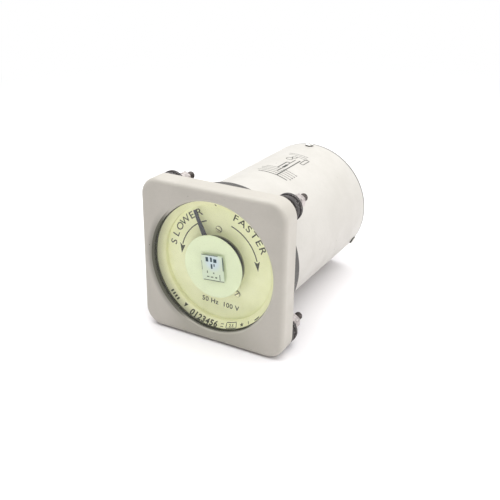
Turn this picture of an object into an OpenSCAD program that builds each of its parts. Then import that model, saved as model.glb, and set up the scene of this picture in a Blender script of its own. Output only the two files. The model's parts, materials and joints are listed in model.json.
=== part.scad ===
// Switchboard synchroscope: a square-front panel meter with a long round case.
// Frame: origin at the centre of the panel plane, which is the rear face of the bezel.
// X is to the right as seen by the reader, Y runs into the panel, Z is up. Millimetres.
// The pieces stand as on a 2.5 mm panel. Threads are left smooth at their outer size.

/* [Bezel] */
// Side of the square bezel
bezel_w = 98; // [91.5:0.5:108]
// Front plane to panel plane
bezel_d = 12.6; // [11.8:0.1:14.7]
// Corner radius seen from the front
bezel_corner_r = 11.5; // [8:0.5:13]
// Rounding of the front edges
bezel_edge_r = 2.9; // [1.6:0.1:3.1]
// Bezel beyond the case, at the middle of a side
case_margin = 6.4; // [6.1:0.1:7.4]
// Step from the case out to the bore behind the lip
bore_step = 1.95; // [1.8:0.05:2.1]
// Overlap of the lip on the bore, at the front plane
lip_overlap = 2.05; // [1.65:0.05:2.45]
// How much the lip narrows towards the glass
lip_slope = 1.4; // [0.8:0.1:1.6]
// Depth of the lip
lip_depth = 1.4; // [1:0.1:1.8]
// Gap round the collar in the back of the bezel
relief_gap = 1.2; // [1:0.1:1.4]
// Depth of that gap
relief_depth = 0.5; // [0.3:0.1:0.7]

/* [Window] */
// Thickness of the window glass
glass_t = 1.5; // [1.3:0.1:1.7]
// Thickness of the seal behind the glass
seal_t = 0.8; // [0.6:0.1:1]
// Width of seal that shows inside the lip
seal_show = 0.4; // [0.2:0.1:0.6]
// Radius of the masking disc on the glass
disc_r = 19.8; // [18:0.1:21.3]
// Thickness of the masking disc
disc_t = 0.5; // [0.3:0.1:0.8]

/* [Dial] */
// Depth of the dial face behind the front plane
dial_depth = 9.8; // [9.6:0.1:10.1]
// Thickness of the dial plate
dial_t = 0.8; // [0.6:0.1:0.9]
// Dial plate inside the outer wall of the case
dial_step = 0.35; // [0.25:0.05:0.45]
// Radius of the opening in the middle of the dial
dial_hole_r = 16.7; // [14.7:0.1:17.9]
// Width of the dished rim
dish_w = 3.8; // [3.2:0.1:4.4]
// Height of the plain wall at the foot of the dished rim
dish_wall_h = 2.65; // [1.65:0.05:2.85]
// Distance of the dial screws from the axis
dial_screw_radius = 21.6; // [20.8:0.1:22.8]
// Angle between the dial screws beside the top one
dial_screw_angle = 144; // [130:1:150]
// Head radius of a dial screw
dial_screw_head_r = 1.9; // [1.7:0.1:2.1]
// Head height of a dial screw
dial_screw_head_h = 0.9; // [0.7:0.1:1.1]
// Shank radius of a dial screw
dial_screw_r = 1; // [0.8:0.05:1.1]
// Shank length of a dial screw
dial_screw_len = 3.3; // [2.5:0.1:4.1]
// Outer radius of a dial pillar
dial_pillar_r = 2.6; // [2.1:0.1:2.9]
// Length of a dial pillar
dial_pillar_h = 3.6; // [3.3:0.1:4.1]

/* [Pointer] */
// Rest angle of the pointer, clockwise from the top
pointer_angle = -24.5; // [-180:0.5:180]
// Depth of the pointer behind the front plane
pointer_depth = 6.4; // [6.1:0.1:6.7]
// Gap from the tip of the pointer to the foot of the dished rim
pointer_tip_gap = 1.65; // [1.3:0.05:3.3]
// Width of the pointer at the axis
pointer_root_w = 5.1; // [4.6:0.1:5.8]
// Width of the pointer at the tip
pointer_tip_w = 1.9; // [1:0.1:2.5]
// Thickness of the pointer
pointer_t = 0.5; // [0.3:0.1:0.7]
// Reach of the pointer's tail
pointer_tail_r = 13.9; // [11.5:0.1:16.3]
// Width of the pointer's tail
pointer_tail_w = 3.3; // [2.5:0.1:4.1]
// Radius of the boss in the middle of the pointer
pointer_boss_r = 4.1; // [3.4:0.1:4.9]
// Radius of the weight on the tail
tail_weight_r = 2.45; // [1.95:0.05:2.8]
// Thickness of the weight on the tail
tail_weight_t = 1.3; // [0.8:0.1:1.6]
// Radius of the hub that carries the pointer
hub_r = 2.8; // [2.6:0.1:3.5]
// Radius of the hub spigot through the pointer
hub_spigot_r = 1.8; // [1.5:0.1:2.1]
// Length of the hub behind the pointer
hub_len = 1.8; // [1.3:0.1:2.1]

/* [Housing] */
// Wall of the case tube
case_wall = 0.8; // [0.6:0.1:1]
// Length of the case behind the panel plane
case_len = 124.4; // [119.3:0.1:138.9]
// Wall of the collar round the case
collar_wall = 3.5; // [3.3:0.1:3.7]
// Length of the collar behind the panel plane
collar_len = 12; // [9.8:0.1:13.1]
// Radius of a collar grub screw
grub_r = 1.25; // [1:0.05:1.65]
// Distance of the collar grub screws behind the panel plane
grub_y = 7.3; // [5.7:0.1:8.1]
// Setback of the rear dish from the rim of the case
rear_recess = 16.6; // [14.7:0.1:18]
// Thickness of the plate of the rear dish
rear_plate_t = 1.2; // [0.8:0.1:1.4]
// Wall of the skirt of the rear dish
skirt_wall = 1; // [0.8:0.1:1.2]
// Setback of the rear screws from the rim of the case
rear_screw_inset = 5.1; // [3.6:0.1:6.5]
// Shank radius of a rear screw
rear_screw_r = 1.25; // [1:0.05:1.65]
// Shank length of a rear screw
rear_screw_len = 2.8; // [2.5:0.1:3.3]
// Head radius of a rear screw
rear_screw_head_r = 2.8; // [2.5:0.1:3.3]
// Head height of a rear screw
rear_screw_head_h = 1.45; // [1.1:0.05:1.8]

/* [Panel fixings] */
// Distance of a stud from each side of the bezel
stud_inset = 9.5; // [9:0.1:10.3]
// Radius of a stud
stud_r = 2.5; // [2.1:0.1:2.7]
// Reach of a stud behind the panel plane
stud_len = 29; // [27:0.5:32.5]
// Depth of a stud in the bezel
stud_in_bezel = 7.3; // [4.9:0.1:8.1]
// Step of the shoulder that centres a stud in its hole in the panel
stud_shoulder = 0.4; // [0.3:0.1:0.6]
// Thickness of panel that the fixings are set for
panel_t = 2.5; // [1.8:0.1:3.3]
// Gap from a buffer to the collar
buffer_gap = 1.25; // [0.95:0.05:1.6]
// Length of a rubber buffer
buffer_len = 7.3; // [6.5:0.1:8.1]
// Depth of the groove round a buffer
buffer_groove = 0.8; // [0.5:0.1:1.1]
// Radius of a plain washer
washer_r = 5; // [4.7:0.1:5.7]
// Thickness of a plain washer
washer_t = 1.3; // [0.8:0.1:1.6]
// Radius of a spring washer
spring_washer_r = 4.4; // [4.1:0.1:4.9]
// Thickness of a spring washer
spring_washer_t = 1.4; // [0.9:0.1:1.6]
// Width across the flats of a stud nut
nut_af = 8; // [7:0.5:9]
// Height of a stud nut
nut_h = 4.7; // [3.9:0.1:5.2]

/* [Moving system] */
// Radius of the spindle at the front bearing
spindle_front_r = 0.6; // [0.5:0.05:0.8]
// Radius of the spindle body
spindle_r = 1.2; // [1:0.1:1.4]
// Radius of the pivot at the rear
pivot_r = 0.4; // [0.3:0.05:0.5]
// Length of the pivot
pivot_len = 2.95; // [2.45:0.05:3.3]
// Gap between an iron vane and the pole faces
pole_gap = 0.55; // [0.3:0.05:0.8]
// Thickness of an iron vane
vane_t = 2.45; // [1.65:0.05:2.85]
// Angle covered by an iron vane
vane_angle = 90; // [60:5:110]
// Radius of the iron sleeve on the spindle
core_r = 2.8; // [2.5:0.1:3.1]
// Reach of a balance arm
balance_arm_r = 9.8; // [8.2:0.1:11.4]
// Radius of a balance arm
balance_rod_r = 0.55; // [0.45:0.05:0.7]
// Radius of a balance weight
balance_weight_r = 1.8; // [1.5:0.1:2.1]
// Length of a balance weight
balance_weight_len = 2.1; // [1.6:0.1:2.4]

/* [Stator] */
// Gap round the stator in the case
stator_gap = 2.6; // [2.1:0.1:2.9]
// Width of the stator ring
stator_ring_w = 8.25; // [7.85:0.05:9.05]
// Length of the stator stack
stator_len = 26.1; // [22.8:0.1:29.4]
// Room between the front plate and the stator
front_room = 10.6; // [9:0.1:12.2]
// Radius of the bore between the pole faces
pole_bore_r = 14.9; // [14.7:0.1:15.5]
// Width of a pole
pole_w = 7.3; // [5.7:0.1:8.1]
// Build of the winding round a pole
pole_coil_build = 3.3; // [2.5:0.1:3.7]
// Setback of a winding from its pole face
coil_front_gap = 5.1; // [4.8:0.1:5.8]
// Gap between a winding and the stator ring
coil_back_gap = 2.05; // [1.95:0.05:3.25]
// Outer radius of the axial coil
axial_coil_r = 11.4; // [9.8:0.1:12.2]
// Length of the axial coil winding
axial_coil_len = 11.4; // [9.8:0.1:13]
// Thickness of a bobbin flange
flange_t = 1.65; // [1.25:0.05:2]
// Gap between a bobbin flange and an iron vane
flange_gap = 1.65; // [0.85:0.05:2]
// Wall of the bobbin tube
bobbin_wall = 0.8; // [0.6:0.1:1]
// Running gap between the bobbin and the iron sleeve
bobbin_gap = 0.65; // [0.5:0.05:0.8]
// Thickness of the clamp band round the axial coil
clamp_t = 1; // [0.8:0.1:1.3]
// Width of the clamp band
clamp_w = 4.9; // [4.1:0.1:6.5]
// Side of a clamp arm
clamp_arm_w = 3.3; // [2.5:0.1:3.7]

/* [Frame of the movement] */
// Thickness of the front plate
front_plate_t = 2.45; // [2.05:0.05:2.85]
// Radius of the front bush
bush_r = 3.7; // [3.3:0.1:4.5]
// Radius of the flange of the front bush
bush_flange_r = 4.9; // [4.6:0.1:5.7]
// Thickness of the flange of the front bush
bush_flange_t = 1.2; // [0.8:0.1:1.4]
// Outer radius of the ring jewel
jewel_r = 1.3; // [1.15:0.05:1.65]
// Thickness of the ring jewel
jewel_t = 1.65; // [1.25:0.05:2]
// Radius of a tie rod
rod_r = 1.5; // [1.2:0.1:1.7]
// Radius of a spacer tube
spacer_r = 2.8; // [2.5:0.1:3.1]
// Room between the stator and the rear bearing plate
rear_room = 9.8; // [9.4:0.1:11.4]
// Thickness of the rear bearing plate
bearing_plate_t = 2.45; // [1.65:0.05:2.8]
// Gap round the bearing plate and the component board
plate_gap = 1.8; // [1.3:0.1:2.5]
// Radius of the bearing screw
jewel_screw_r = 2; // [1.8:0.1:2.2]
// Width across the flats of the bearing screw's nut
jewel_nut_af = 7; // [6:0.5:8]
// Height of that nut
jewel_nut_h = 2.45; // [1.65:0.05:2.8]

/* [Rear works] */
// Distance from the component board to the rear dish
board_setback = 35.9; // [34.3:0.1:37.5]
// Thickness of the component board
board_t = 2.05; // [1.65:0.05:2.3]
// Radius of a resistor, as a share of the radius of the ring of terminals
resistor_share = 0.26; // [0.2:0.01:0.27]
// Bore radius of a resistor
resistor_bore_r = 2.45; // [1.65:0.05:2.8]
// Length of a resistor
resistor_len = 19.6; // [16.3:0.1:22]
// Radius of a resistor bolt
resistor_bolt_r = 1.25; // [1:0.05:1.5]
// Radius of the washer on a resistor
resistor_washer_r = 4.1; // [3.6:0.1:4.4]
// Length of the capacitor can
capacitor_len = 24.5; // [19.5:0.5:28]
// Height and length of the choke core
choke_h = 18; // [16.5:0.5:19.5]
// Thickness of the choke's outer legs
choke_leg = 3.7; // [2.5:0.1:4.1]
// Width of the choke's windows
choke_window = 3.3; // [2.5:0.1:4.1]
// Overhang of the choke winding at the sides
choke_coil_over = 1.65; // [0.85:0.05:2]
// Gap between the choke and the axis
choke_z = 3.3; // [2.5:0.1:4.1]
// Clearance between the terminal board and the tie rods
terminal_board_gap = 4.5; // [4.1:0.1:4.9]
// Thickness of the terminal board
terminal_board_t = 4.1; // [3.3:0.1:4.5]
// Overlap of the terminal board on the rear dish
terminal_board_overlap = 4.5; // [4.1:0.1:4.9]
// Radius of a board screw
board_screw_r = 1; // [0.8:0.05:1.05]
// Distance of the ring of terminals from the opening in the rear dish
terminal_inset = 4.9; // [4.1:0.1:5.7]
// Number of terminals
terminal_count = 6; // [3, 6]
// Radius of a terminal stud
terminal_r = 1.5; // [1.1:0.1:1.7]
// Radius of the collar and of the washer of a terminal
terminal_washer_r = 3.3; // [3:0.1:3.6]
// Setback of the terminal ends from the rim of the case
terminal_end_inset = 1.05; // [0.65:0.05:2.45]
// Width across the flats of a small nut
small_nut_af = 5.5; // [5:0.1:6]
// Height of a small nut
small_nut_h = 2.4; // [1.7:0.1:2.7]
// Radius of a lead
lead_r = 0.65; // [0.4:0.05:0.8]

/* [Clearances] */
// Clearance of a stud, rod or screw in its hole
hole_gap = 0.05; // [0.02:0.01:0.1]
// Running clearance of the spindle in the front jewel
bearing_gap = 0.05; // [0.02:0.01:0.08]
// Clearance between a winding and its pole
coil_gap = 0.1; // [0.05:0.05:0.2]
// Clearance between parts that slide together at assembly
slide_gap = 0.1; // [0.05:0.05:0.15]

/* [Hidden] */
$fn = 96;
rim_flat = bezel_w / 2 - bezel_corner_r;
case_r = bezel_w / 2 - case_margin;
case_inner_r = case_r - case_wall;
bezel_bore_r = case_r + bore_step;
lip_outer_r = bezel_bore_r - lip_overlap;
lip_inner_r = lip_outer_r - lip_slope;
seal_inner_r = lip_inner_r - seal_show;
inner_r = bezel_bore_r - 3 * slide_gap;
dish_inner_r = seal_inner_r - dish_w;
dial_r = case_r - dial_step;
pointer_r = dish_inner_r - pointer_tip_gap;
collar_r = case_r + collar_wall;
collar_inner_r = case_r + slide_gap;
collar_spigot_r = bezel_bore_r - slide_gap;
relief_r = collar_r + relief_gap;
skirt_r = case_inner_r - slide_gap;
stud_a = bezel_w / 2 - stud_inset;
buffer_r = stud_a * sqrt(2) - collar_r - buffer_gap;
stator_r = case_inner_r - stator_gap;
stator_inner_r = stator_r - stator_ring_w;
rod_radius = stator_r - 0.4 * stator_ring_w;
vane_r = pole_bore_r - pole_gap;
front_plate_r = case_inner_r - 2 * slide_gap;
board_r = case_inner_r - plate_gap;
terminal_board_r = rod_radius - terminal_board_gap;
rear_opening_r = terminal_board_r - terminal_board_overlap;
terminal_ring_r = rear_opening_r - terminal_inset;
board_screw_radius = terminal_board_r - terminal_board_overlap / 2;
resistor_r = resistor_share * terminal_ring_r;
resistor_x = terminal_ring_r * 2 / 3;
resistor_z = resistor_x * 0.89;
choke_w = terminal_ring_r - 1.75 * terminal_washer_r;
choke_yoke = choke_leg + 0.5;
choke_middle = choke_h - 2 * (choke_leg + choke_window);
front_y = -bezel_d;
glass_y = front_y + lip_depth;
seal_y = glass_y + glass_t;
dish_y = seal_y + seal_t;
dial_y = front_y + dial_depth;
dial_back_y = dial_y + dial_t;
pointer_y = front_y + pointer_depth - pointer_t / 2;
pointer_back_y = pointer_y + pointer_t;
plate_y = dial_back_y + dial_pillar_h;
plate_back_y = plate_y + front_plate_t;
cross_y = plate_back_y + 1.4 * front_plate_t;
cross_t = 2 * spindle_r;
buffer_y = panel_t;
washer_y = buffer_y + buffer_len;
nut_y = washer_y + washer_t;
spring_y = nut_y + nut_h;
lock_y = spring_y + spring_washer_t;
lock_back_y = lock_y + nut_h;
stator_y = plate_back_y + front_room;
stator_back_y = stator_y + stator_len;
stator_mid_y = stator_y + stator_len / 2;
axial_y = stator_mid_y - axial_coil_len / 2;
axial_back_y = axial_y + axial_coil_len;
vane_y = axial_y - flange_t - flange_gap - vane_t;
vane_back_y = axial_back_y + flange_t + flange_gap + vane_t;
bearing_plate_y = stator_back_y + rear_room;
bearing_back_y = bearing_plate_y + bearing_plate_t;
rear_plate_y = case_len - rear_recess;
rear_plate_back_y = rear_plate_y + rear_plate_t;
rear_screw_y = case_len - rear_screw_inset;
board_y = rear_plate_y - board_setback;
board_back_y = board_y + board_t;
terminal_face_y = rear_plate_back_y + terminal_board_t;
terminal_nut_y = terminal_face_y + small_nut_h / 4;
terminal_nut_back_y = terminal_nut_y + small_nut_h;
terminal_end_y = case_len - terminal_end_inset;
terminal_tail_y = rear_plate_y - 2 * small_nut_h;
grub_angles = [30, 150, 210, 330];
rear_screw_angles = [0, 120, 240];
board_screw_angles = [60, 180, 300];
rod_angles = [45, 135, 225, 315];

// Straight round along Y from y0 to y1
module rod(r, y0, y1) {
    translate([0, y1, 0])
        rotate([90, 0, 0])
            cylinder(r = r, h = y1 - y0);
}

// Round that narrows from ra at y0 to rb at y1
module taper(ra, rb, y0, y1) {
    translate([0, y1, 0])
        rotate([90, 0, 0])
            cylinder(r1 = rb, r2 = ra, h = y1 - y0);
}

// Ring along Y
module ring(ro, ri, y0, y1) {
    difference() {
        rod(ro, y0, y1);
        rod(ri, y0 - 1, y1 + 1);
    }
}

// Profile of radius and distance along Y, turned about the Y axis
module turned(points) {
    rotate([-90, 0, 0])
        rotate_extrude()
            polygon(points);
}

// Hexagon prism along Y, flats up and down
module hex(af, y0, y1) {
    translate([0, y1, 0])
        rotate([90, 0, 0])
            cylinder(r = af / sqrt(3), h = y1 - y0, $fn = 6);
}

// Places a piece at a clock angle and a radius
module at_clock(angle, radius) {
    translate([radius * sin(angle), 0, radius * cos(angle)])
        children();
}

// Places a piece on each of the four studs
module on_studs() {
    for (sx = [-1, 1])
        for (sz = [-1, 1])
            translate([sx * stud_a, 0, sz * stud_a])
                children();
}

// Places a piece on each tie rod
module on_rods() {
    for (a = rod_angles)
        at_clock(a, rod_radius)
            children();
}

// Section of the bezel's rim: x runs outwards, y runs from the front plane to the panel
module rim_section() {
    square([bezel_corner_r - bezel_edge_r, bezel_d]);
    translate([0, bezel_edge_r])
        square([bezel_corner_r, bezel_d - bezel_edge_r]);
    translate([bezel_corner_r - bezel_edge_r, bezel_edge_r])
        circle(r = bezel_edge_r);
}

// Right side of the rim with the corner below it
module rim_quarter() {
    translate([rim_flat, front_y, -rim_flat])
        linear_extrude(height = 2 * rim_flat)
            rim_section();
    translate([rim_flat, front_y, -rim_flat])
        rotate([-90, 0, 0])
            rotate_extrude(angle = 90)
                rim_section();
}

// Square bezel, cast, with the window opening, the bore behind it and four blind, counterbored stud holes
module bezel() {
    color([0.72, 0.70, 0.63])
        difference() {
            union() {
                translate([-rim_flat, front_y, -rim_flat])
                    cube([2 * rim_flat, bezel_d, 2 * rim_flat]);
                for (a = [0, 90, 180, 270])
                    rotate([0, a, 0])
                        rim_quarter();
            }
            taper(lip_outer_r, lip_inner_r, front_y, glass_y);
            rod(lip_outer_r, front_y - 1, front_y);
            rod(lip_inner_r, glass_y - 0.1, glass_y + 0.1);
            rod(bezel_bore_r, glass_y, 1);
            rod(relief_r, -relief_depth, 1);
            on_studs() {
                rod(stud_r + hole_gap, -stud_in_bezel - 0.5, 1);
                rod(stud_r + stud_shoulder + hole_gap, -1, 1);
            }
        }
}

// Window glass, pressed against the lip from behind
module window_glass() {
    color([0.85, 0.92, 0.88, 0.35])
        rod(inner_r, glass_y, seal_y);
}

// Rubber seal between the glass and the dished rim
module window_seal() {
    color([0.1, 0.1, 0.1])
        ring(inner_r, seal_inner_r, seal_y, dish_y);
}

// Masking disc on the back of the glass, over the hub and the front bearing
module centre_disc() {
    color([0.87, 0.9, 0.77])
        rod(disc_r, seal_y, seal_y + disc_t);
}

// Dished rim between the window and the dial, rebated at the back for the dial plate
module dial_rim() {
    color([0.87, 0.87, 0.7])
        turned([
            [seal_inner_r, dish_y],
            [inner_r, dish_y],
            [inner_r, dial_back_y],
            [dial_r + 2 * slide_gap, dial_back_y],
            [dial_r + 2 * slide_gap, dial_y],
            [dish_inner_r, dial_y],
            [dish_inner_r, dial_y - dish_wall_h]
        ]);
}

// Dial plate with its opening and three screw holes
module dial_plate() {
    color([0.89, 0.89, 0.74])
        difference() {
            rod(dial_r, dial_y, dial_back_y);
            rod(dial_hole_r, dial_y - 1, dial_back_y + 1);
            for (k = [-1, 0, 1])
                at_clock(k * dial_screw_angle, dial_screw_radius)
                    rod(dial_screw_r + slide_gap, dial_y - 1, dial_back_y + 1);
        }
}

// Three slotted screws through the dial
module dial_screws() {
    color([0.35, 0.35, 0.28])
        for (k = [-1, 0, 1])
            at_clock(k * dial_screw_angle, dial_screw_radius)
                difference() {
                    union() {
                        rod(dial_screw_head_r, dial_y - dial_screw_head_h, dial_y);
                        rod(dial_screw_r, dial_y, dial_y + dial_screw_len);
                    }
                    translate([-dial_screw_head_r - 1, dial_y - 1.5 * dial_screw_head_h, -0.3])
                        cube([2 * dial_screw_head_r + 2, dial_screw_head_h, 0.6]);
                }
}

// Three pillars that hold the dial off the front plate
module dial_pillars() {
    color([0.8, 0.7, 0.4])
        for (k = [-1, 0, 1])
            at_clock(k * dial_screw_angle, dial_screw_radius)
                ring(dial_pillar_r, dial_screw_r + hole_gap, dial_back_y, plate_y);
}

// Collar behind the bezel: a spigot in the bezel's bore and a body that fills the panel cut-out
module case_collar() {
    color([0.09, 0.09, 0.09])
        difference() {
            union() {
                rod(collar_spigot_r, dial_back_y, relief_depth);
                rod(collar_r, -relief_depth, collar_len);
            }
            rod(collar_inner_r, dial_back_y - 1, collar_len + 1);
            for (a = grub_angles)
                rotate([0, a, 0])
                    translate([0, grub_y, case_r - 1])
                        cylinder(r = grub_r + hole_gap, h = 2 * collar_wall);
        }
}

// Four grub screws that grip the case tube in the collar
module collar_grubs() {
    color([0.5, 0.5, 0.52])
        for (a = grub_angles)
            rotate([0, a, 0])
                translate([0, grub_y, case_r + 0.05])
                    difference() {
                        cylinder(r = grub_r, h = collar_r - case_r - 0.25);
                        translate([-2, -0.25, collar_r - case_r - 1])
                            cube([4, 0.5, 2]);
                    }
}

// Long round case tube, open at the back
module case_tube() {
    color([0.93, 0.91, 0.86])
        difference() {
            ring(case_r, case_inner_r, dial_back_y, case_len);
            for (a = rear_screw_angles)
                rotate([0, a, 0])
                    translate([0, rear_screw_y, case_r / 2])
                        cylinder(r = rear_screw_r + hole_gap, h = case_r);
        }
}

// Rear dish: a skirt in the end of the case and a plate set back behind the rim
module rear_dish() {
    color([0.8, 0.79, 0.74])
        difference() {
            rod(skirt_r, rear_plate_y, case_len - 0.5);
            rod(skirt_r - skirt_wall, rear_plate_back_y, case_len + 1);
            rod(rear_opening_r, rear_plate_y - 1, rear_plate_back_y + 1);
            on_rods()
                rod(rod_r + hole_gap, rear_plate_y - 1, rear_plate_back_y + 1);
            for (a = board_screw_angles)
                at_clock(a, board_screw_radius)
                    rod(board_screw_r + hole_gap, rear_plate_y - 1, rear_plate_back_y + 1);
            for (a = rear_screw_angles)
                rotate([0, a, 0])
                    translate([0, rear_screw_y, case_r / 2])
                        cylinder(r = rear_screw_r + hole_gap, h = case_r);
        }
}

// Three radial screws that hold the rear dish in the case
module rear_screws() {
    color([0.15, 0.14, 0.13])
        for (a = rear_screw_angles)
            rotate([0, a, 0])
                translate([0, rear_screw_y, 0])
                    difference() {
                        union() {
                            translate([0, 0, case_r - rear_screw_len])
                                cylinder(r = rear_screw_r, h = rear_screw_len + rear_screw_head_h / 2);
                            translate([0, 0, case_r])
                                cylinder(r = rear_screw_head_r, h = rear_screw_head_h);
                        }
                        translate([-rear_screw_head_r - 1, -0.4, case_r + rear_screw_head_h / 2])
                            cube([2 * rear_screw_head_r + 2, 0.8, rear_screw_head_h]);
                    }
}

// Four mounting studs, blackened, screwed into the bezel
module mounting_studs() {
    color([0.12, 0.12, 0.12])
        on_studs() {
            taper(stud_r - 0.6, stud_r, -stud_in_bezel, -stud_in_bezel + 0.6);
            rod(stud_r, -stud_in_bezel + 0.6, stud_len - 0.6);
            rod(stud_r + stud_shoulder, 0, 0.85 * panel_t);
            taper(stud_r, stud_r - 0.6, stud_len - 0.6, stud_len);
        }
}

// Grooved rubber buffer on each stud, behind the panel
module stud_buffers() {
    third = buffer_len / 3;
    color([0.07, 0.07, 0.07])
        on_studs()
            difference() {
                union() {
                    rod(buffer_r, buffer_y, buffer_y + third);
                    rod(buffer_r - buffer_groove, buffer_y, washer_y);
                    rod(buffer_r, washer_y - 1.4 * third, washer_y);
                }
                rod(stud_r + slide_gap, buffer_y - 1, washer_y + 1);
            }
}

// Plain washer on each buffer
module stud_washers() {
    color([0.78, 0.78, 0.78])
        on_studs()
            ring(washer_r, stud_r + slide_gap, washer_y, nut_y);
}

// Inner nut on each stud
module stud_nuts() {
    color([0.8, 0.8, 0.78])
        on_studs()
            difference() {
                hex(nut_af, nut_y, spring_y);
                rod(stud_r + hole_gap, nut_y - 1, spring_y + 1);
            }
}

// Split spring washer between the two nuts
module stud_spring_washers() {
    color([0.7, 0.7, 0.68])
        on_studs()
            difference() {
                ring(spring_washer_r, stud_r + slide_gap, spring_y, lock_y);
                translate([-0.5, spring_y - 1, 0])
                    cube([1, spring_washer_t + 2, spring_washer_r + 1]);
            }
}

// Outer nut that locks each stud
module stud_locknuts() {
    color([0.8, 0.8, 0.78])
        on_studs()
            rotate([0, 30, 0])
                difference() {
                    hex(nut_af, lock_y, lock_back_y);
                    rod(stud_r + hole_gap, lock_y - 1, lock_back_y + 1);
                }
}

// Spindle with its shoulder and rear pivot
module spindle() {
    color([0.75, 0.75, 0.77]) {
        rod(spindle_front_r, pointer_y - 2 * pointer_t, cross_y);
        rod(spindle_r, cross_y - 1, bearing_plate_y - 5);
        rod(pivot_r, bearing_plate_y - 6, bearing_plate_y - 5 + pivot_len - 0.8);
        taper(pivot_r, 0.06, bearing_plate_y - 5 + pivot_len - 0.8, bearing_plate_y - 5 + pivot_len);
    }
}

// Brass hub that carries the pointer on the spindle
module pointer_hub() {
    color([0.75, 0.6, 0.3])
        difference() {
            union() {
                rod(hub_spigot_r, pointer_y - 2 * pointer_t, pointer_back_y);
                rod(hub_r, pointer_back_y, pointer_back_y + hub_len);
            }
            rod(spindle_front_r + 0.01, pointer_y - 2, pointer_back_y + hub_len + 1);
        }
}

// Tapered pointer with its tail
module pointer() {
    color([0.16, 0.12, 0.08])
        rotate([0, pointer_angle, 0])
            difference() {
                union() {
                    translate([0, pointer_back_y, 0])
                        rotate([90, 0, 0])
                            linear_extrude(height = pointer_t)
                                polygon([
                                    [-pointer_root_w / 2, 0],
                                    [-pointer_tip_w / 2, pointer_r],
                                    [pointer_tip_w / 2, pointer_r],
                                    [pointer_root_w / 2, 0],
                                    [pointer_tail_w / 2, -pointer_tail_r],
                                    [-pointer_tail_w / 2, -pointer_tail_r]
                                ]);
                    rod(pointer_boss_r, pointer_y, pointer_back_y);
                }
                rod(hub_spigot_r + 0.01, pointer_y - 1, pointer_y + 2);
            }
}

// Weight on the pointer's tail
module tail_weight() {
    color([0.6, 0.6, 0.58])
        rotate([0, pointer_angle, 0])
            translate([0, 0, -pointer_tail_r + tail_weight_r - 1])
                rod(tail_weight_r, pointer_back_y, pointer_back_y + tail_weight_t);
}

// Brass cross that carries the balance weights
module balance_cross() {
    color([0.75, 0.6, 0.3])
        rotate([0, pointer_angle + 45, 0])
            difference() {
                union() {
                    rod(2 * spindle_r, cross_y, cross_y + cross_t);
                    for (a = [0, 90, 180])
                        rotate([0, a, 0])
                            translate([0, cross_y + cross_t / 2, 0])
                                cylinder(r = balance_rod_r, h = balance_arm_r);
                }
                rod(spindle_r + 0.01, cross_y - 1, cross_y + cross_t + 1);
            }
}

// Three balance weights on the arms of the cross
module balance_weights() {
    color([0.7, 0.55, 0.25])
        rotate([0, pointer_angle + 45, 0])
            for (a = [0, 90, 180])
                rotate([0, a, 0])
                    translate([0, cross_y + cross_t / 2, balance_arm_r - 1.2 * balance_weight_len])
                        difference() {
                            cylinder(r = balance_weight_r, h = balance_weight_len);
                            translate([0, 0, -1])
                                cylinder(r = balance_rod_r + 0.01, h = balance_weight_len + 2);
                        }
}

// Sector of a vane between the sleeve and the pole gap, centred on the top
module vane_sector(y0, y1) {
    half = vane_angle / 2;
    reach = 2 * vane_r;
    intersection() {
        rod(vane_r, y0, y1);
        translate([0, y1, 0])
            rotate([90, 0, 0])
                linear_extrude(height = y1 - y0)
                    polygon([
                        [0, 0],
                        [-reach * sin(half), reach * cos(half)],
                        [0, 2 * reach],
                        [reach * sin(half), reach * cos(half)]
                    ]);
    }
}

// Moving iron: a sleeve with one vane at each end, on opposite sides of the spindle
module armature() {
    color([0.35, 0.36, 0.38])
        rotate([0, pointer_angle, 0])
            difference() {
                union() {
                    rod(core_r, vane_y, vane_back_y);
                    vane_sector(vane_y, vane_y + vane_t);
                    rotate([0, 180, 0])
                        vane_sector(vane_back_y - vane_t, vane_back_y);
                }
                rod(spindle_r + 0.01, vane_y - 1, vane_back_y + 1);
            }
}

// Front plate of the movement
module front_plate() {
    color([0.13, 0.13, 0.12])
        difference() {
            rod(front_plate_r, plate_y, plate_back_y);
            rod(bush_r + hole_gap, plate_y - 1, plate_back_y + 1);
            on_rods()
                rod(rod_r + hole_gap, plate_y - 1, plate_back_y + 1);
        }
}

// Brass bush in the front plate
module front_bush() {
    color([0.75, 0.6, 0.3])
        difference() {
            union() {
                rod(bush_flange_r, plate_y - bush_flange_t, plate_y);
                rod(bush_r, plate_y, plate_back_y);
            }
            rod(jewel_r + hole_gap, plate_y - bush_flange_t - 1, plate_back_y + 1);
        }
}

// Ring jewel in which the spindle turns
module front_jewel() {
    color([0.7, 0.1, 0.15])
        ring(jewel_r, spindle_front_r + bearing_gap, plate_y, plate_y + jewel_t);
}

// Laminated stator ring with six inward poles
module stator_core() {
    color([0.3, 0.31, 0.33])
        difference() {
            union() {
                ring(stator_r, stator_inner_r, stator_y, stator_back_y);
                for (k = [0 : 5])
                    rotate([0, 60 * k, 0])
                        translate([-pole_w / 2, stator_y, pole_bore_r - 2])
                            cube([pole_w, stator_len, stator_inner_r - pole_bore_r + 4]);
            }
            rod(pole_bore_r, stator_y - 1, stator_back_y + 1);
            on_rods()
                rod(rod_r + hole_gap, stator_y - 1, stator_back_y + 1);
        }
}

// Winding round each pole
module pole_coils() {
    hole_w = pole_w + 2 * coil_gap;
    hole_l = stator_len + 2 * coil_gap;
    build = 2 * pole_coil_build;
    start = pole_bore_r + coil_front_gap;
    len = stator_inner_r - coil_back_gap - start;
    color([0.6, 0.3, 0.12])
        for (k = [0 : 5])
            rotate([0, 60 * k, 0])
                difference() {
                    translate([-(hole_w + build) / 2, stator_mid_y - (hole_l + build) / 2, start])
                        cube([hole_w + build, hole_l + build, len]);
                    translate([-hole_w / 2, stator_mid_y - hole_l / 2, start - 1])
                        cube([hole_w, hole_l, len + 2]);
                }
}

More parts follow.
